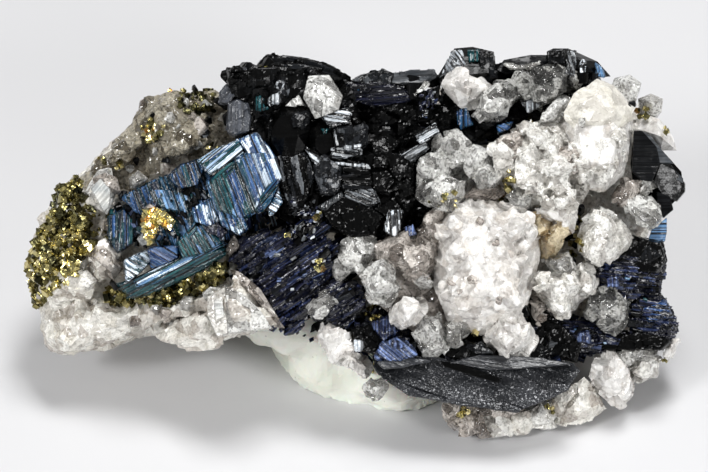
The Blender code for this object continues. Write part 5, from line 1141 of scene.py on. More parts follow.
def central_cluster():
    piece = Piece("central_vivianite_crystals", "dark_vivianite", ["central_vivianite_cluster"],
                  ["black", "painted_reflection", "indigo", "crust", "clear", "blue", "slate"])
    chance = random.Random(41)
    base = [(-7.6, 9.2), (-4.0, 9.8), (0.0, 9.2), (4.6, 9.0), (5.4, 7.2), (5.2, 3.4), (3.6, 0.2), (1.6, -0.2),
            (-0.8, 0.6), (-4.6, 1.6), (-5.9, 4.6), (-7.2, 6.8)]
    piece.add_mass([shard(base, [], 0.0, 2.6, -0.5, 0.9)], 0.15, broken(1.5, 0.55), 0, (0.0, 0.7), 0.9)
    for outline, lift in [([(-7.6, 10.1), (-2.8, 10.1), (-0.5, 8.5), (0.8, 5.7), (0.9, 4.2), (-1.9, 0.8), (-4.2, 2.1), (-5.2, 5.7), (-7.1, 6.2)], -0.1),
                          ([(-1.9, 4.8), (3.4, 5.1), (3.7, 2.3), (2.5, 0.3), (-0.1, 0.1), (-2.3, 1.7)], 0.1)]:
        piece.add_mass([facet(outline, lift, (0.0, 0.0), 1.2, 1.05)], 0.13, broken(1.5, 0.35), 0, (0.1, 0.7), 0.6)
    crust = [(-6.0, 10.2), (-5.3, 10.9), (-4.3, 11.05), (-2.3, 10.6), (-1.2, 10.2), (-0.2, 9.6), (-2.0, 8.8),
             (-5.6, 8.8)]
    piece.add_mass([shard(crust, [(-5.2, 9.9), (-3.0, 9.9), (-1.6, 9.4)], 0.6, 2.4, -0.5)], 0.08,
                   grown(slanting(-18), 0.8, 0.35, 4.0), 0, (0.3, 0.97), 0.5, slanting(-18), 4.0)
    add_bits(piece, 3, [(-5.8, 10.2, 0.35), (-5.4, 9.6, 0.3), (-1.6, 9.9, 0.3), (-6.6, 9.8, 0.3)], chance)
    # The last of these crystals, at tone 0.95, is painted grey as a reflecting face; the others have the dark crystals'
    # own tones.
    for outline, table, rise, tone in [
            ([(-5.1, 6.9), (-4.8, 7.7), (-4.1, 7.9), (-3.1, 7.8), (-2.7, 7.3), (-2.6, 6.4), (-2.9, 5.4), (-3.7, 4.6), (-4.4, 4.8), (-5.0, 5.7)],
             [(-4.3, 7.3), (-3.6, 7.4), (-3.4, 6.1), (-4.2, 6.0)], 1.5, 0.25),
            ([(-2.7, 6.9), (-2.1, 7.1), (-1.3, 6.9), (-1.0, 6.2), (-1.2, 5.3), (-1.9, 4.8), (-2.6, 5.3), (-2.8, 6.1)],
             [(-2.3, 6.5), (-1.5, 6.5), (-1.5, 5.7), (-2.2, 5.7)], 1.4, 0.35),
            ([(-2.2, 3.7), (-1.9, 4.2), (-1.2, 4.3), (-0.7, 3.6), (-0.8, 2.9), (-1.5, 2.5), (-2.0, 2.9)],
             [(-1.9, 3.8), (-1.2, 3.8), (-1.1, 3.2), (-1.7, 3.0)], 1.35, 0.95)]:
        piece.add(chipped(shard(outline, table, rise, 2.0, rise - 0.7), chance, 4, 0.15), 0, tone, UP, 0.04, 0.2)
    # In these faces material 1 paints reflections, and tones near 1 on black, indigo and blue are painted highlights:
    # grey and pale faces where the crystals would mirror the lamps.
    add_facets(piece, [
            ([(-8.1, 8.8), (-7.6, 9.3), (-6.8, 10.1), (-6.3, 10.0), (-7.0, 8.9), (-7.6, 8.1), (-8.1, 8.1)], 1.25, (0.25, -0.45), 6,
             [1.0, 0.6, 1.0, 0.3], -40, 0.16),
            ([(-7.7, 6.5), (-7.6, 8.0), (-7.1, 8.3), (-6.5, 8.0), (-6.3, 7.3), (-6.4, 6.4), (-7.2, 6.1)], 1.35, (0.1, -0.2), 6,
             [0.9], None, 0),
            ([(-6.8, 8.9), (-5.9, 9.7), (-4.7, 9.7), (-5.1, 8.5), (-6.0, 7.7), (-6.7, 8.1)], 0.8, (0.0, 0.2), 0, [0.3], None, 0),
            ([(-5.9, 9.9), (-4.7, 10.0), (-4.7, 9.5), (-5.8, 9.3)], 0.7, (0.0, -0.5), 2, [0.9], None, 0),
            ([(-5.2, 8.3), (-4.6, 9.4), (-4.2, 9.3), (-4.6, 8.1), (-5.1, 8.0)], 1.3, (0.3, -0.3), 1, [0.8], None, 0),
            ([(-4.6, 9.4), (-4.2, 9.4), (-3.8, 8.9), (-4.2, 8.1), (-4.6, 8.1)], 1.25, (-0.5, 0.0), 0, [1.0], None, 0),
            ([(-6.0, 8.4), (-5.7, 8.5), (-5.3, 7.8), (-5.9, 7.7)], 1.3, (0.0, -0.2), 5, [0.15], None, 0),
            ([(-4.2, 7.9), (-3.4, 8.5), (-3.0, 7.9)], 1.3, (0.2, -0.3), 4, [1.0], None, 0),
            ([(-3.7, 7.4), (-2.8, 7.6), (-2.7, 6.9), (-3.1, 6.4), (-3.7, 6.6)], 1.62, (-0.25, 0.0), 0, [0.93], None, 0),
            ([(-2.0, 6.5), (-1.5, 6.5), (-1.7, 6.1)], 1.6, (0.0, -0.3), 5, [0.2], None, 0),
            ([(-1.9, 7.3), (-1.4, 7.5), (-0.4, 7.7), (-0.2, 7.4), (-0.4, 6.9), (-1.4, 6.6)], 1.5, (0.0, -0.5), 1,
             [0.9, 0.0, 0.7, 0.1], 80, 0.12),
            ([(-1.2, 6.4), (-1.0, 6.6), (0.5, 6.7), (0.7, 6.5), (0.7, 5.6), (0.4, 5.4), (-0.5, 5.3), (-1.1, 5.5)], 1.5,
             (0.0, -0.1), 0, [0.97], None, 0),
            ([(-1.25, 6.4), (-1.1, 6.5), (-0.9, 5.5), (-1.1, 5.5)], 1.6, (0.2, -0.5), 1, [1.0], None, 0),
            ([(-0.6, 5.5), (0.5, 5.6), (0.4, 5.4), (-0.5, 5.3)], 1.6, (0.0, -0.5), 1, [0.9], None, 0),
            ([(-1.0, 6.3), (-0.6, 6.3), (-0.6, 5.5), (-0.9, 5.6)], 1.56, (0.0, -0.1), 0, [0.6], None, 0),
            ([(-0.4, 6.4), (0.5, 6.5), (0.5, 5.7), (-0.4, 5.5)], 1.56, (0.0, -0.1), 0, [0.93], None, 0),
            ([(-1.3, 5.3), (0.3, 5.5), (0.4, 5.0), (-0.5, 4.8), (-1.3, 4.8)], 1.2, (0.0, -0.3), 1, [0.8, 0.0, 0.6], 82, 0.12),
            ([(-1.2, 4.5), (0.8, 4.3), (0.9, 4.1), (-1.1, 4.4)], 1.2, (0.0, -0.6), 1, [0.9], None, 0),
            ([(-2.9, 5.3), (-2.4, 5.0), (-1.6, 4.5), (-2.0, 4.0), (-2.3, 4.3)], 1.1, (0.2, -0.45), 1, [1.0, 0.2, 0.8], 55, 0.16),
            ([(-0.7, 4.2), (0.8, 4.2), (1.1, 3.3), (1.0, 2.9), (-0.7, 2.9)], 1.05, (0.0, -0.1), 0,
             [0.5, 0.6, 0.8], 86, 0.3),
            ([(-0.6, 2.8), (1.1, 2.9), (1.5, 2.1), (0.9, 1.8), (-0.5, 2.4)], 1.0, (0.1, -0.4), 1,
             [0.45, 0.0, 0.3, 0.0, 0.5], 64, 0.1),
            ([(-2.1, 1.8), (-0.8, 2.7), (-0.7, 2.4), (-1.7, 1.6)], 1.1, (0.0, -0.3), 1, [0.2], None, 0),
            ([(-2.4, 4.2), (-1.8, 4.8), (-0.9, 4.3), (-0.8, 3.2), (-1.2, 2.6), (-2.0, 2.6)], 1.3, (-0.2, -0.3), 0, [1.0], None, 0),
            ([(-2.0, 1.7), (-0.6, 2.4), (0.9, 1.8), (1.8, 1.2), (1.2, 0.1), (-0.1, 0.0), (-1.4, 0.7)], 0.9,
             (0.0, -0.12), 0, [0.3], None, 0),
            ([(-4.6, 4.8), (-3.1, 4.9), (-2.4, 3.9), (-2.8, 2.9), (-3.1, 1.8), (-3.9, 1.8), (-4.4, 3.0)], 0.95, (0.1, -0.2), 0,
             [0.1, 1.0, 0.4, 0.2, 1.0, 0.1, 0.9, 0.3], 12, 0.14),
            ([(-0.1, 9.4), (0.5, 9.8), (1.7, 10.1), (2.4, 9.8), (2.2, 9.3), (0.8, 9.2)], 0.5, (0.0, -0.6), 0,
             [0.95], None, 0),
            ([(2.2, 9.7), (3.4, 10.0), (4.7, 10.0), (4.8, 9.7), (4.1, 9.3), (2.3, 9.3)], 0.55, (0.0, -0.55), 0,
             [1.0, 0.9], 95, 0.3),
            ([(-0.2, 9.2), (1.5, 9.3), (3.0, 8.9), (3.4, 8.3), (1.7, 7.8), (-0.1, 8.3)], 0.3, (0.0, 0.2), 2,
             [0.0, 0.3, 0.1, 0.45], 95, 0.3),
            ([(0.1, 9.2), (1.1, 9.1), (1.0, 8.8), (0.2, 8.7)], 0.42, (0.0, -0.2), 5, [0.32], None, 0),
            ([(3.7, 8.6), (4.3, 9.4), (4.6, 9.2), (4.1, 8.7)], 1.1, (0.2, -0.3), 4, [1.0], None, 0),
            ([(3.8, 6.1), (4.9, 6.8), (5.1, 6.3), (4.4, 5.7), (4.0, 5.7)], 1.3, (0.1, -0.35), 1,
             [1.0, 0.0, 0.9, 0.1], -60, 0.1),
            ([(2.9, 4.9), (4.3, 5.7), (4.5, 5.3), (3.5, 4.5)], 1.0, (0.1, -0.3), 1, [0.7, 0.0, 0.3, 0.0], -58, 0.1),
            ([(1.9, 0.4), (2.1, 1.4), (2.5, 1.6), (2.9, 1.5), (2.7, 0.3), (2.4, 0.0)], 1.3, (0.1, -0.2), 1,
             [0.1, 0.3, 1.0, 0.9, 0.05], 5, 0.12),
            ([(3.1, 0.4), (3.6, 0.7), (3.8, 0.1), (3.3, 0.0)], 1.0, (0.0, -0.2), 2, [1.0], None, 0),
            ([(1.1, 5.7), (2.1, 6.2), (2.8, 5.7), (2.2, 4.9), (1.2, 4.9)], 0.6, (-0.3, 0.1), 0, [0.3], None, 0),
            ([(2.2, 4.8), (3.2, 4.9), (3.5, 3.9), (2.7, 3.3), (2.1, 4.1)], 0.8, (0.2, -0.3), 0, [0.2], None, 0),
            ([(1.1, 3.9), (2.0, 4.0), (2.5, 3.3), (1.9, 2.6), (1.2, 2.9)], 0.9, (-0.2, -0.1), 0, [0.5], None, 0),
            ([(2.5, 3.3), (3.3, 3.5), (3.6, 2.6), (2.9, 2.3)], 0.9, (0.1, -0.3), 0, [0.6], None, 0),
            ([(1.2, 4.9), (2.1, 4.8), (2.0, 4.1), (1.1, 4.1)], 0.8, (0.3, 0.1), 0, [0.2], None, 0),
            ([(0.9, 1.9), (2.5, 2.2), (3.1, 1.4), (1.9, 1.2)], 0.7, (0.0, -0.4), 0, [0.4], None, 0)])
    # Material 1 among these flakes paints reflections: grey to near-white faces that stand in for the lamps mirrored in
    # them.
    flakes = [([(-6.3, 7.4), (-5.2, 7.3), (-5.0, 6.2), (-5.9, 5.7), (-6.4, 6.4)], 0.2, (0.1, 0.22), [1, 0, 0]),
              ([(4.0, 8.9), (5.0, 9.0), (5.1, 6.9), (4.1, 6.9)], 0.22, (0.12, 0.25), [2, 0, 1, 2]),
              ([(-3.9, 2.2), (-2.4, 2.2), (-1.9, 0.8), (-3.1, -0.2), (-4.4, 0.3)], 0.25, (0.15, 0.3), [1, 0, 2, 0]),
              ([(-4.4, 9.6), (-3.1, 9.8), (-3.1, 8.9), (-4.3, 8.9)], 0.2, (0.1, 0.2), [1, 0])]
    for region, spacing, size, materials in flakes:
        infill(piece, region, spacing, size, 30, 60, materials, chance, 0.15, 1.4, -0.25, 0.7)
    area = [(-8.2, 9.6), (-5.0, 10.4), (-1.0, 9.8), (2.0, 9.6), (5.2, 9.4), (5.8, 7.0), (5.4, 3.0), (3.8, 0.0),
            (1.6, -0.6), (-1.0, 0.4), (-4.6, 1.4), (-5.6, 4.6), (-6.4, 6.4), (-8.0, 7.0)]
    infill(piece, area, 0.8, (0.6, 1.2), 30, 60, [0], chance, 0.1, 1.4, 0.6, 1.6, (0.0, 0.7))
    piece.finish()


def indigo_mound():
    piece = Piece("indigo_vivianite_laths", "dark_vivianite", ["indigo_vivianite_mound"],
                  ["indigo", "black", "painted_reflection", "blue"])
    chance = random.Random(51)
    outline = [(-7.6, -1.0), (-7.2, -0.2), (-5.4, 0.2), (-3.4, 0.2), (-1.8, 0.1), (-0.9, -0.6), (-1.3, -2.2),
               (-2.4, -4.4), (-3.4, -6.0), (-4.2, -5.9), (-5.2, -4.4), (-6.6, -2.6)]
    mound = shard(outline, [(-5.0, -0.6), (-2.6, -0.4), (-2.0, -1.8), (-4.2, -4.0)], 0.8, 2.4, 0.1)
    skirt = [(-2.4, -3.4), (-1.0, -2.4), (0.2, -2.8), (0.6, -4.2), (-0.4, -5.6), (-2.4, -5.0)]
    low = shard(skirt, [(-1.6, -3.4), (-0.4, -3.6), (-1.2, -4.6)], 0.7, 2.2, 0.1)
    piece.add_mass([mound, low], 0.075, grown(slanting(34), 0.5, 0.75), 0, (0.0, 0.85), 0.3, slanting(34), 5.0)
    area = [(-7.6, 0.4), (-4.4, 1.4), (-1.0, 0.6), (0.6, -2.6), (0.4, -5.0), (-1.8, -6.4), (-4.4, -6.2),
            (-5.6, -4.0), (-7.2, -2.2)]
    # Some of these laths take the top tones, which are painted highlights, and material 2, whose faces are painted
    # reflections.
    infill(piece, area, 0.75, (0.25, 0.5), 34, 12, [1, 0], chance, 0.1, 4.0, 0.15, 1.5)
    infill(piece, area, 0.8, (0.12, 0.25), 34, 50, [0, 1, 2], chance, 0.12, 1.6, -0.1, 0.8)
    piece.finish()


def lower_vivianite():
    piece = Piece("lower_vivianite_crystals", "dark_vivianite", ["lower_vivianite_cluster"],
                  ["black", "indigo", "blue", "painted_reflection"])
    chance = random.Random(61)
    slab = [(0.0, -5.0), (2.0, -4.8), (14.0, -5.4), (14.0, -7.2), (9.0, -8.0), (1.4, -7.6)]
    piece.add_mass([shard(slab, [], 0.0, 2.2, -0.6, 0.9)], 0.1, broken(1.2, 0.5), 0, (0.0, 0.6), 0.9)
    # In these faces tones near 1 on indigo and black are painted highlights and material 3 paints reflections: pale and
    # grey faces where the crystals would mirror the lamps.
    add_facets(piece, [
            ([(1.4, -7.4), (1.6, -6.5), (2.7, -6.2), (3.4, -6.7), (3.7, -7.2), (2.5, -7.6)], 1.3, (0.2, -0.3), 1,
             [1.0, 0.85, 0.95], 50, 0.2),
            ([(2.0, -6.4), (2.4, -6.2), (3.0, -6.7), (2.5, -6.9)], 1.5, (0.2, -0.3), 1, [1.0], None, 0),
            ([(5.6, -7.2), (6.6, -6.5), (7.7, -6.4), (8.6, -7.2), (9.1, -8.1), (7.1, -7.7)], 1.1, (0.0, -0.25), 0,
             [0.6], None, 0),
            ([(6.6, -6.7), (7.7, -6.4), (8.4, -7.1), (7.4, -7.2)], 1.25, (0.3, -0.1), 0, [0.95], None, 0),
            ([(10.0, -6.7), (11.1, -6.4), (12.3, -7.1), (11.4, -7.5), (10.1, -7.7)], 0.9, (0.0, -0.2), 0, [0.7], None, 0),
            ([(10.8, -3.9), (11.4, -5.5), (12.7, -5.5), (13.7, -6.5), (13.4, -7.5), (11.4, -7.2), (10.7, -5.8)], 0.4, (0.0, 0.1), 0,
             [0.5], None, 0),
            ([(-0.2, -5.6), (1.1, -5.4), (1.8, -6.4), (1.4, -7.2), (0.3, -6.9)], 0.5, (-0.2, -0.1), 0, [0.6], None, 0),
            ([(1.0, -5.2), (2.3, -4.8), (2.5, -5.8), (1.8, -6.4)], 0.7, (0.2, -0.3), 1, [0.9], None, 0),
            ([(0.0, -6.4), (0.5, -6.4), (0.5, -6.9), (0.1, -7.0)], 1.0, (0.1, -0.4), 3, [1.0], None, 0)])
    area = [(-0.4, -4.4), (2.2, -4.2), (10.0, -5.0), (14.2, -5.0), (14.0, -7.6), (9.0, -8.2), (1.4, -7.8),
            (-0.4, -6.6)]
    infill(piece, area, 0.45, (0.4, 0.8), 10, 50, [0, 0, 1], chance, 0.15, 1.5, 0.2, 1.3)
    piece.finish()

    piece = Piece("left_sparkling_blade", "dark_vivianite", ["left_vivianite_blade"],
                  ["sparkle", "slate", "painted_reflection", "black"])
    body = [(1.1, -7.9), (1.4, -7.4), (3.3, -7.2), (5.4, -7.4), (5.7, -7.9), (7.3, -8.4), (8.8, -8.8), (8.6, -9.4), (10.7, -10.4), (10.0, -10.7), (6.6, -10.3), (3.3, -9.7), (1.8, -8.7)]
    low = [(point[0], point[1]) for point in body]
    solid = facet(low, 1.5, (-0.05, -0.3), 1.6, 0.9)
    piece.add_mass([solid], 0.07, grown(slanting(-22), 0.7, 0.16, 6.0), 0)
    # The last face here, in material 2 at tones 0.9 to 1, is a painted glint: a bright streak where the blade would
    # mirror a lamp.
    for outline, lift, slope, material, tones in [
            ([(4.7, -8.7), (6.6, -8.2), (8.4, -9.4), (10.6, -10.4), (8.6, -10.4), (6.3, -10.1), (4.8, -9.5)], 1.57, (-0.04, -0.3), 1,
             (0.4, 1.0)),
            ([(1.4, -7.7), (3.3, -7.4), (4.7, -7.6), (3.3, -7.9), (1.8, -8.1)], 1.57, (-0.04, -0.3), 1, (0.0, 0.5)),
            ([(7.1, -8.8), (7.7, -8.9), (8.6, -9.5), (7.7, -9.2)], 1.8, (0.0, -0.45), 2, (0.9, 1.0))]:
        piece.add_mass([facet(outline, lift, slope, 1.2, 1.0)], 0.06, grown(slanting(-22), 0.5, 0.1, 8.0), material,
                       tones, 0.2, slanting(-22), 12.0)
    # A black facet between the two blades: painted shadow where the gap between them falls dark.
    painted_shadow_slit = [(5.2, -7.6), (6.5, -7.75), (8.9, -8.65), (8.8, -8.95), (7.2, -8.5), (5.5, -7.95)]
    piece.add(facet(painted_shadow_slit, 1.85, (0.02, -0.28), 1.4, 1.0), 3, 0.1, UP, 0.03)
    piece.finish()
    piece = Piece("right_sparkling_blade", "dark_vivianite", ["right_vivianite_blade"], ["sparkle", "slate"])
    body = [(5.7, -7.8), (7.7, -7.3), (11.4, -7.5), (13.4, -7.7), (13.7, -8.2), (13.0, -9.4), (11.8, -9.9), (10.4, -10.5), (9.1, -9.8), (9.1, -8.8)]
    piece.add_mass([facet(body, 1.9, (0.02, -0.28), 1.4, 0.92)], 0.07, grown(slanting(-22), 0.7, 0.16, 6.0), 0)
    bevel = [(5.7, -7.7), (7.7, -7.2), (11.4, -7.4), (13.3, -7.8), (11.4, -7.8), (8.4, -8.2)]
    piece.add_mass([facet(bevel, 1.98, (0.0, -0.4), 1.4, 1.0)], 0.06, grown(slanting(-8), 0.4, 0.12, 8.0), 1,
                   (0.0, 0.2), 0.2, slanting(-8), 12.0)
    piece.finish()


def right_vivianite():
    chance = random.Random(71)
    piece = Piece("right_vivianite_faces", "dark_vivianite", ["right_vivianite_crystal"],
                  ["black", "blue", "painted_reflection"])
    outline = [(17.0, 6.4), (17.6, 6.5), (18.2, 5.7), (19.2, 4.6), (19.9, 3.9), (20.0, 3.0), (19.9, 2.5),
               (19.3, 1.9), (18.6, 1.3), (17.0, 2.6), (16.8, 4.4)]
    piece.add(shard(outline, [(18.0, 3.6)], -0.2, 3.0, -0.7), 0, 0.3)
    # The tones 0.97 and 0.95 on black are painted reflections: grey faces where the crystal would mirror the lamps.
    for face, lift, slope, material, tone in [
            ([(17.0, 6.4), (17.5, 6.4), (18.4, 5.4), (18.6, 4.4), (18.1, 3.3), (17.4, 3.4), (16.9, 3.9)], 0.9, (-0.25, -0.1),
             0, 0.7),
            ([(17.5, 6.4), (18.0, 6.1), (19.4, 4.4), (19.2, 4.4), (18.6, 4.4), (18.4, 5.4)], 0.75, (-0.5, -0.2), 0, 0.97),
            ([(18.6, 4.4), (19.2, 4.4), (20.1, 3.2), (20.1, 2.7), (19.6, 2.1), (18.8, 2.4), (18.2, 3.3)], 0.6, (-0.4, 0.1),
             0, 0.5),
            ([(19.4, 4.1), (20.0, 3.5), (20.0, 3.2), (19.6, 3.4)], 0.7, (-0.2, -0.4), 0, 0.95),
            ([(18.4, 2.7), (19.2, 2.4), (19.4, 1.6), (18.8, 1.1), (18.4, 1.8)], 0.7, (0.1, 0.1), 0, 0.7),
            ([(17.9, -0.2), (18.1, 0.4), (19.0, 1.1), (19.0, 0.3), (18.9, -0.3), (18.5, -0.6)], 0.4, (-0.1, 0.0), 1,
             0.72)]:
        piece.add(facet(face, lift, slope, 2.6, 1.05), material, tone, UP, 0.04)
    piece.finish()

    piece = Piece("lower_right_vivianite_laths", "dark_vivianite", ["lower_right_vivianite"],
                  ["indigo", "black", "blue", "painted_reflection"])
    for outline, table, rise, depth, rim in [
            ([(14.7, -2.2), (15.6, -1.2), (17.6, -0.3), (18.6, -0.6), (18.9, -1.9), (18.6, -2.6),
              (18.6, -3.6), (16.8, -3.8), (14.8, -3.4)],
             [(15.8, -2.2), (17.6, -1.2), (18.1, -2.6), (16.2, -3.0)], 0.8, 3.0, -0.3),
            ([(17.0, -4.0), (18.6, -3.5), (19.2, -4.4), (19.6, -5.6), (19.4, -6.2), (17.8, -6.7),
              (16.6, -6.5)], [(17.8, -4.6), (18.8, -5.0), (18.2, -6.0)], 1.0, 3.2, -0.3),
            ([(12.6, -5.6), (14.2, -5.0), (15.4, -6.0), (16.8, -6.0), (16.4, -6.9), (13.8, -7.2),
              (12.8, -6.6)], [(13.8, -6.2), (15.8, -6.4)], 0.7, 2.4, -0.3)]:
        piece.add_mass([shard(outline, table, rise, depth, rim + 0.3)], 0.075, grown(slanting(-6), 0.45, 0.7), 0,
                       (0.0, 0.85), 0.3, slanting(-6), 5.0)
    # In these faces the indigo ones at tone 1 are painted highlights: pale blue-grey where the laths would mirror the
    # lamps.
    add_facets(piece, [
            ([(16.0, -0.8), (17.0, -0.1), (18.6, -0.4), (18.9, -1.5), (18.3, -2.2), (16.9, -2.2), (16.1, -1.8)], 0.9, (-0.1, -0.1), 1,
             [0.5], None, 0),
            ([(17.0, -0.8), (17.9, -0.6), (18.6, -1.2), (17.6, -1.8)], 1.05, (0.2, -0.2), 1, [0.9], None, 0),
            ([(15.3, -2.6), (16.0, -2.5), (16.1, -3.1), (15.4, -3.1)], 1.3, (0.1, -0.3), 0, [1.0], None, 0),
            ([(13.6, -5.9), (14.3, -5.8), (14.3, -6.4), (13.6, -6.4)], 1.3, (0.1, -0.3), 0, [1.0], None, 0),
            ([(17.6, -4.4), (18.9, -3.9), (19.3, -4.9), (17.9, -5.2)], 1.2, (0.1, -0.35), 2, [0.4, 0.0, 0.42, 0.0], 82, 0.1),
            ([(14.3, -6.4), (17.6, -5.8), (19.1, -6.4), (18.6, -6.9), (15.0, -6.9)], 1.0, (0.0, -0.2), 1, [0.5], None, 0)])
    area = [(14.2, -2.0), (17.4, 0.0), (18.0, -0.4), (18.0, -3.2), (18.6, -5.6), (17.4, -6.6), (12.6, -7.2),
            (12.8, -5.4), (16.8, -5.6), (17.2, -3.6), (14.6, -3.4)]
    infill(piece, area, 0.7, (0.25, 0.5), -6, 8, [1, 0], chance, 0.08, 3.5, 0.2, 1.4)
    infill(piece, area, 0.75, (0.12, 0.24), -6, 30, [0, 1, 2], chance, 0.08, 2.0, -0.05, 1.0)
    piece.finish()

    piece = Piece("upper_right_vivianite_blocks", "dark_vivianite", ["upper_right_vivianite"],
                  ["black", "painted_reflection", "indigo", "blue", "clear"])
    zone = [(5.4, 8.8), (9.0, 9.2), (12.6, 9.2), (11.4, 7.2), (8.8, 6.0), (6.6, 5.6), (5.2, 6.6)]
    strip = [(5.4, 9.4), (8.6, 10.2), (12.0, 10.4), (15.4, 9.3), (14.6, 8.2), (12.0, 8.2), (8.6, 8.2),
             (6.0, 8.0)]
    piece.add_mass([shard(zone, [], 0.0, 2.4, -0.5, 0.85), shard(strip, [], 0.0, 1.8, -1.4, 0.85)], 0.1,
                   broken(1.2, 0.5), 0, (0.0, 0.7), 0.9)
    block = [(5.0, 9.6), (6.1, 11.4), (7.2, 11.5), (8.5, 11.2), (8.6, 10.5), (8.7, 9.4), (7.2, 9.1), (5.3, 9.1)]
    bar = [(8.7, 10.1), (9.1, 10.7), (10.7, 11.0), (11.8, 11.0), (11.9, 10.5), (10.5, 10.1), (9.2, 9.8)]
    right = [(11.7, 11.2), (12.1, 11.4), (13.0, 11.4), (13.7, 11.1), (14.8, 10.6), (15.6, 9.7), (14.8, 9.6), (13.3, 9.7), (11.8, 10.3)]
    piece.add(shard(block, [(6.4, 10.9), (8.1, 10.9), (8.2, 9.9), (6.5, 9.8)], 0.6, 2.4, -0.4), 0, 0.3, UP, 0.04)
    piece.add(shard(bar, [], 0.0, 2.2, -0.6), 0, 0.7, UP, 0.04)
    piece.add(shard(right, [(12.4, 11.0), (13.7, 10.7), (14.6, 9.9), (12.7, 10.4)], 0.7, 2.4, -0.4), 0, 0.4, UP, 0.04)
    # Material 1 in these faces paints reflections: grey to near-white faces where the blocks would mirror the lamps.
    add_facets(piece, [
            ([(5.3, 9.7), (6.0, 11.2), (6.5, 11.2), (6.7, 10.4), (6.2, 9.8)], 0.75, (0.4, -0.4), 1, [0.8, 0.1, 0.6, 0.2], 35, 0.14),
            ([(6.9, 11.3), (7.6, 11.3), (7.6, 10.6), (7.0, 10.6)], 0.85, (0.0, -0.3), 3, [0.2], None, 0),
            ([(7.6, 11.2), (8.5, 11.1), (8.6, 9.7), (7.7, 9.9)], 0.75, (-0.3, -0.1), 0, [0.8], None, 0),
            ([(9.2, 10.5), (9.8, 10.3), (10.5, 10.3), (10.4, 10.2), (9.7, 10.1), (9.1, 10.4)], 0.35, (0.0, -0.3), 4, [1.0], None, 0),
            ([(10.3, 10.3), (10.7, 10.5), (11.3, 10.6), (11.2, 10.4), (10.6, 10.1)], 0.4, (0.0, -0.3), 4, [0.3], None, 0),
            ([(13.0, 11.2), (13.5, 11.2), (13.4, 9.7), (12.8, 9.8)], 0.95, (0.1, -0.3), 1, [0.3, 0.0, 0.5, 0.1], 15, 0.12),
            ([(13.8, 10.7), (14.1, 10.6), (14.0, 9.8), (13.7, 9.9)], 1.0, (0.1, -0.3), 1, [1.0, 0.0, 1.0], 10, 0.1),
            ([(14.7, 10.5), (15.1, 10.1), (15.2, 9.7), (14.7, 9.7)], 0.95, (0.0, -0.2), 3, [0.85, 0.7], 15, 0.14),
            ([(11.8, 11.2), (12.7, 11.3), (12.8, 10.5), (11.9, 10.4)], 0.8, (0.1, -0.2), 0, [0.8], None, 0),
            ([(10.2, 8.1), (10.9, 8.3), (11.3, 7.9), (10.6, 7.5)], 0.9, (0.1, -0.4), 1, [0.7, 0.0], 0, 0.09),
            ([(6.2, 7.5), (6.8, 7.7), (7.2, 6.8), (6.5, 6.5)], 0.8, (0.0, -0.2), 3, [0.4], None, 0),
            ([(8.7, 6.7), (9.6, 6.9), (9.4, 6.5), (8.8, 6.3)], 0.9, (0.0, -0.3), 3, [0.7, 0.2], 60, 0.12)])
    area = [(5.2, 9.6), (8.4, 9.8), (12.2, 10.2), (15.2, 9.6), (12.8, 8.4), (11.4, 7.0), (8.6, 6.0), (6.0, 5.4),
            (5.0, 6.8)]
    infill(piece, area, 0.5, (0.4, 0.8), 60, 60, [0, 0, 0, 2], chance, 0.15, 1.4, 0.2, 1.2)
    piece.finish()


# Pyrite

def grain(place, size, chance):
    """A small pyrite crystal: an uneven cube with some corners missing."""
    first = random_direction(chance)
    second = first.orthogonal().normalized()
    third = first.cross(second)
    points = []
    for x in (-1, 1):
        for y in (-1, 1):
            for z in (-1, 1):
                corner = first * x + second * y * chance.uniform(0.8, 1.1) + third * z * chance.uniform(0.8, 1.1)
                points.append(place + corner * size * chance.uniform(0.45, 0.62))
    return hull(points)


def grains(piece, region, spacing, size, chance, depth=0.1, tones=(0.0, 0.95), only=None, share=1.0):
    for across, up in spots(region, spacing, chance):
        found = SIGHT.at(across, up)
        if found is None or (only and found[2] not in only) or chance.random() > share:
            continue
        place = found[0] + OUT * chance.uniform(-depth, depth)
        piece.add(grain(place, chance.uniform(*size), chance), 0, chance.uniform(*tones), UP, 0.0)


def flecks(piece, places, chance):
    """Little groups of grains around the places (across, up, radius, count)."""
    for across, up, radius, count in places:
        for _ in range(count):
            way = chance.uniform(0.0, 2.0 * math.pi)
            reach = radius * math.sqrt(chance.random())
            found = SIGHT.at(across + reach * math.cos(way), up + reach * math.sin(way))
            if found is not None:
                place = found[0] + OUT * chance.uniform(0.05, 0.4)
                piece.add(grain(place, chance.uniform(0.12, 0.3), chance), 0, chance.uniform(0.1, 1.0), UP, 0.0)


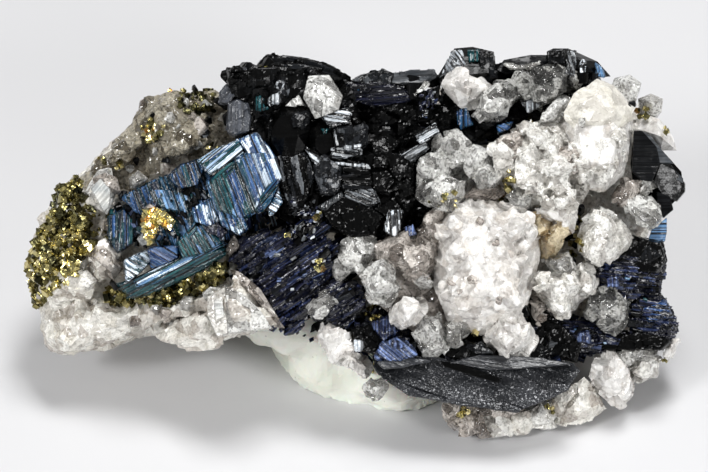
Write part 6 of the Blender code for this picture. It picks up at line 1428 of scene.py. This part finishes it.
def pyrite():
    chance = random.Random(81)
    piece = Piece("pyrite_crust_grains", "pyrite", ["pyrite_crust"], ["pyrite"])
    upper = [(-18.9, 0.6), (-18.4, 1.4), (-18.0, 3.0), (-16.9, 3.5), (-16.4, 2.4), (-15.9, 1.2), (-16.0, 0.7)]
    grains(piece, upper, 0.24, (0.15, 0.42), chance, 0.2, (0.0, 0.6), None, 0.9)
    crust = [(-20.0, -3.0), (-19.6, -0.6), (-18.9, 0.6), (-16.0, 0.7), (-15.2, 0.4), (-15.8, -0.6), (-16.6, -1.4), (-16.8, -2.4), (-18.0, -3.2), (-19.2, -4.4)]
    grains(piece, crust, 0.22, (0.15, 0.42), chance, 0.2, (0.05, 0.9), None, 0.85)
    grains(piece, [(-16.6, 2.2), (-15.0, 1.4), (-13.9, 0.6), (-14.6, -0.6), (-16.2, -0.2)], 0.3, (0.15, 0.4),
           chance, 0.1, (0.0, 0.7), None, 0.6)
    piece.finish()
    piece = Piece("pyrite_knob_grains", "pyrite", ["pyrite_knob"], ["pyrite"])
    knob = [(-12.75, 1.3), (-12.3, 1.65), (-11.6, 1.5), (-11.0, 0.9), (-11.2, 0.5), (-12.0, 0.9), (-12.1, -0.3),
            (-12.5, -0.6), (-12.7, 0.2)]
    grains(piece, knob, 0.16, (0.2, 0.36), chance, 0.1, (0.6, 1.0))
    piece.finish()
    piece = Piece("pyrite_seam_grains", "pyrite", ["pyrite_seam"], ["pyrite"])
    seam = [(-15.2, -3.0), (-14.0, -3.4), (-12.0, -3.4), (-9.8, -2.6), (-8.4, -1.6), (-7.6, -1.6), (-7.6, -2.6),
            (-9.0, -3.4), (-11.0, -4.4), (-13.0, -4.4), (-15.0, -4.2)]
    grains(piece, seam, 0.26, (0.15, 0.4), chance, 0.15, (0.0, 0.85))
    dark = [(-11.6, 8.3), (-10.0, 9.0), (-8.6, 9.0), (-8.3, 7.6), (-9.8, 7.4), (-10.9, 7.8)]
    grains(piece, dark, 0.3, (0.15, 0.35), chance, 0.12, (0.0, 0.3), None, 0.8)
    grains(piece, [(-12.7, 5.7), (-12.6, 7.0), (-12.1, 7.3), (-11.9, 6.6), (-12.2, 5.6)], 0.24, (0.15, 0.3), chance,
           0.1, (0.2, 1.0))
    flecks(piece, [(-12.3, 6.4, 0.75, 16), (-15.3, 4.6, 0.25, 4), (-17.0, 3.3, 0.45, 8), (-11.0, 8.6, 0.8, 14),
                   (-11.4, -3.6, 0.4, 9), (-2.15, -1.8, 0.38, 9), (-2.25, 1.3, 0.25, 4), (-4.0, 0.0, 0.2, 3),
                   (1.3, -4.6, 0.65, 14), (10.6, 7.2, 0.42, 9), (17.5, 7.5, 0.35, 8), (18.9, 6.5, 0.3, 6),
                   (9.3, 3.6, 0.4, 7), (9.2, 2.8, 0.4, 7), (9.2, 2.2, 0.35, 6), (13.4, 0.9, 0.5, 9),
                   (13.1, 0.2, 0.45, 8), (13.5, -0.6, 0.5, 8), (13.2, -1.3, 0.35, 5), (7.5, -6.15, 0.3, 5),
                   (6.6, -10.7, 0.35, 7), (12.0, -10.4, 0.3, 6), (18.8, -7.9, 0.4, 8), (12.7, -5.3, 0.2, 3),
                   (-0.7, -6.2, 0.5, 9), (1.1, -8.0, 0.3, 5), (5.8, 2.2, 0.6, 9), (5.0, 2.1, 0.5, 7),
                   (-5.8, 10.2, 0.5, 6), (-8.6, 5.4, 0.3, 4), (-14.2, 4.2, 0.3, 4), (16.2, 2.4, 0.2, 3)], chance)
    piece.finish()


rock()
putty()
milky_cluster()
upper_milky()
quartz_groups()
blue_crystal()
central_cluster()
indigo_mound()
lower_vivianite()
right_vivianite()
pyrite()


# Stage

def area_light(name, place, target, size, power, colour=(1.0, 1.0, 1.0)):
    light = bpy.data.lights.new(name, "AREA")
    light.shape = "RECTANGLE"
    light.size, light.size_y = size
    light.energy = power
    light.color = colour
    item = bpy.data.objects.new(name, light)
    item.location = place
    item.rotation_mode = "QUATERNION"
    item.rotation_quaternion = (Vector(target) - Vector(place)).to_track_quat("-Z", "Y")
    bpy.context.scene.collection.objects.link(item)


def stage():
    mesh = bmesh.new()
    bmesh.ops.create_grid(mesh, x_segments=1, y_segments=1, size=1.5)
    data = bpy.data.meshes.new("floor")
    mesh.to_mesh(data)
    floor = bpy.data.objects.new("floor", data)
    bpy.context.scene.collection.objects.link(floor)
    made = Shader("floor_surface", Roughness=0.5)
    made.set(Base_Color=made.ramp(made.noise(40.0, 2.0), [(0.3, (0.60, 0.60, 0.61)), (0.7, (0.64, 0.64, 0.65))]))
    made.done()
    data.materials.append(made.material)
    world = bpy.data.worlds.new("studio")
    world.use_nodes = True
    world.node_tree.nodes["Background"].inputs["Color"].default_value = (0.97, 0.97, 0.98, 1.0)
    world.node_tree.nodes["Background"].inputs["Strength"].default_value = 0.22
    bpy.context.scene.world = world
    area_light("top_light", (0.05, 0.03, 0.34), (0.0, 0.0, 0.01), (0.15, 0.1), 1.0)
    area_light("front_light", (-0.26, -0.24, 0.24), (0.0, 0.0, 0.01), (0.1, 0.1), 1.0)
    area_light("side_light", (0.24, -0.26, 0.14), (0.01, 0.0, 0.005), (0.08, 0.08), 0.65)
    camera = bpy.data.cameras.new("camera")
    camera.lens = 200.0
    camera.sensor_width = 36.0
    camera.clip_start, camera.clip_end = 0.01, 5.0
    item = bpy.data.objects.new("camera", camera)
    item.location = (FACE_CENTRE + OUT * EYE_DISTANCE) * MM
    item.rotation_mode = "QUATERNION"
    item.rotation_quaternion = (-OUT).to_track_quat("-Z", "Y")
    bpy.context.scene.collection.objects.link(item)
    bpy.context.scene.camera = item
    bpy.context.scene.view_settings.view_transform = "Standard"


stage()
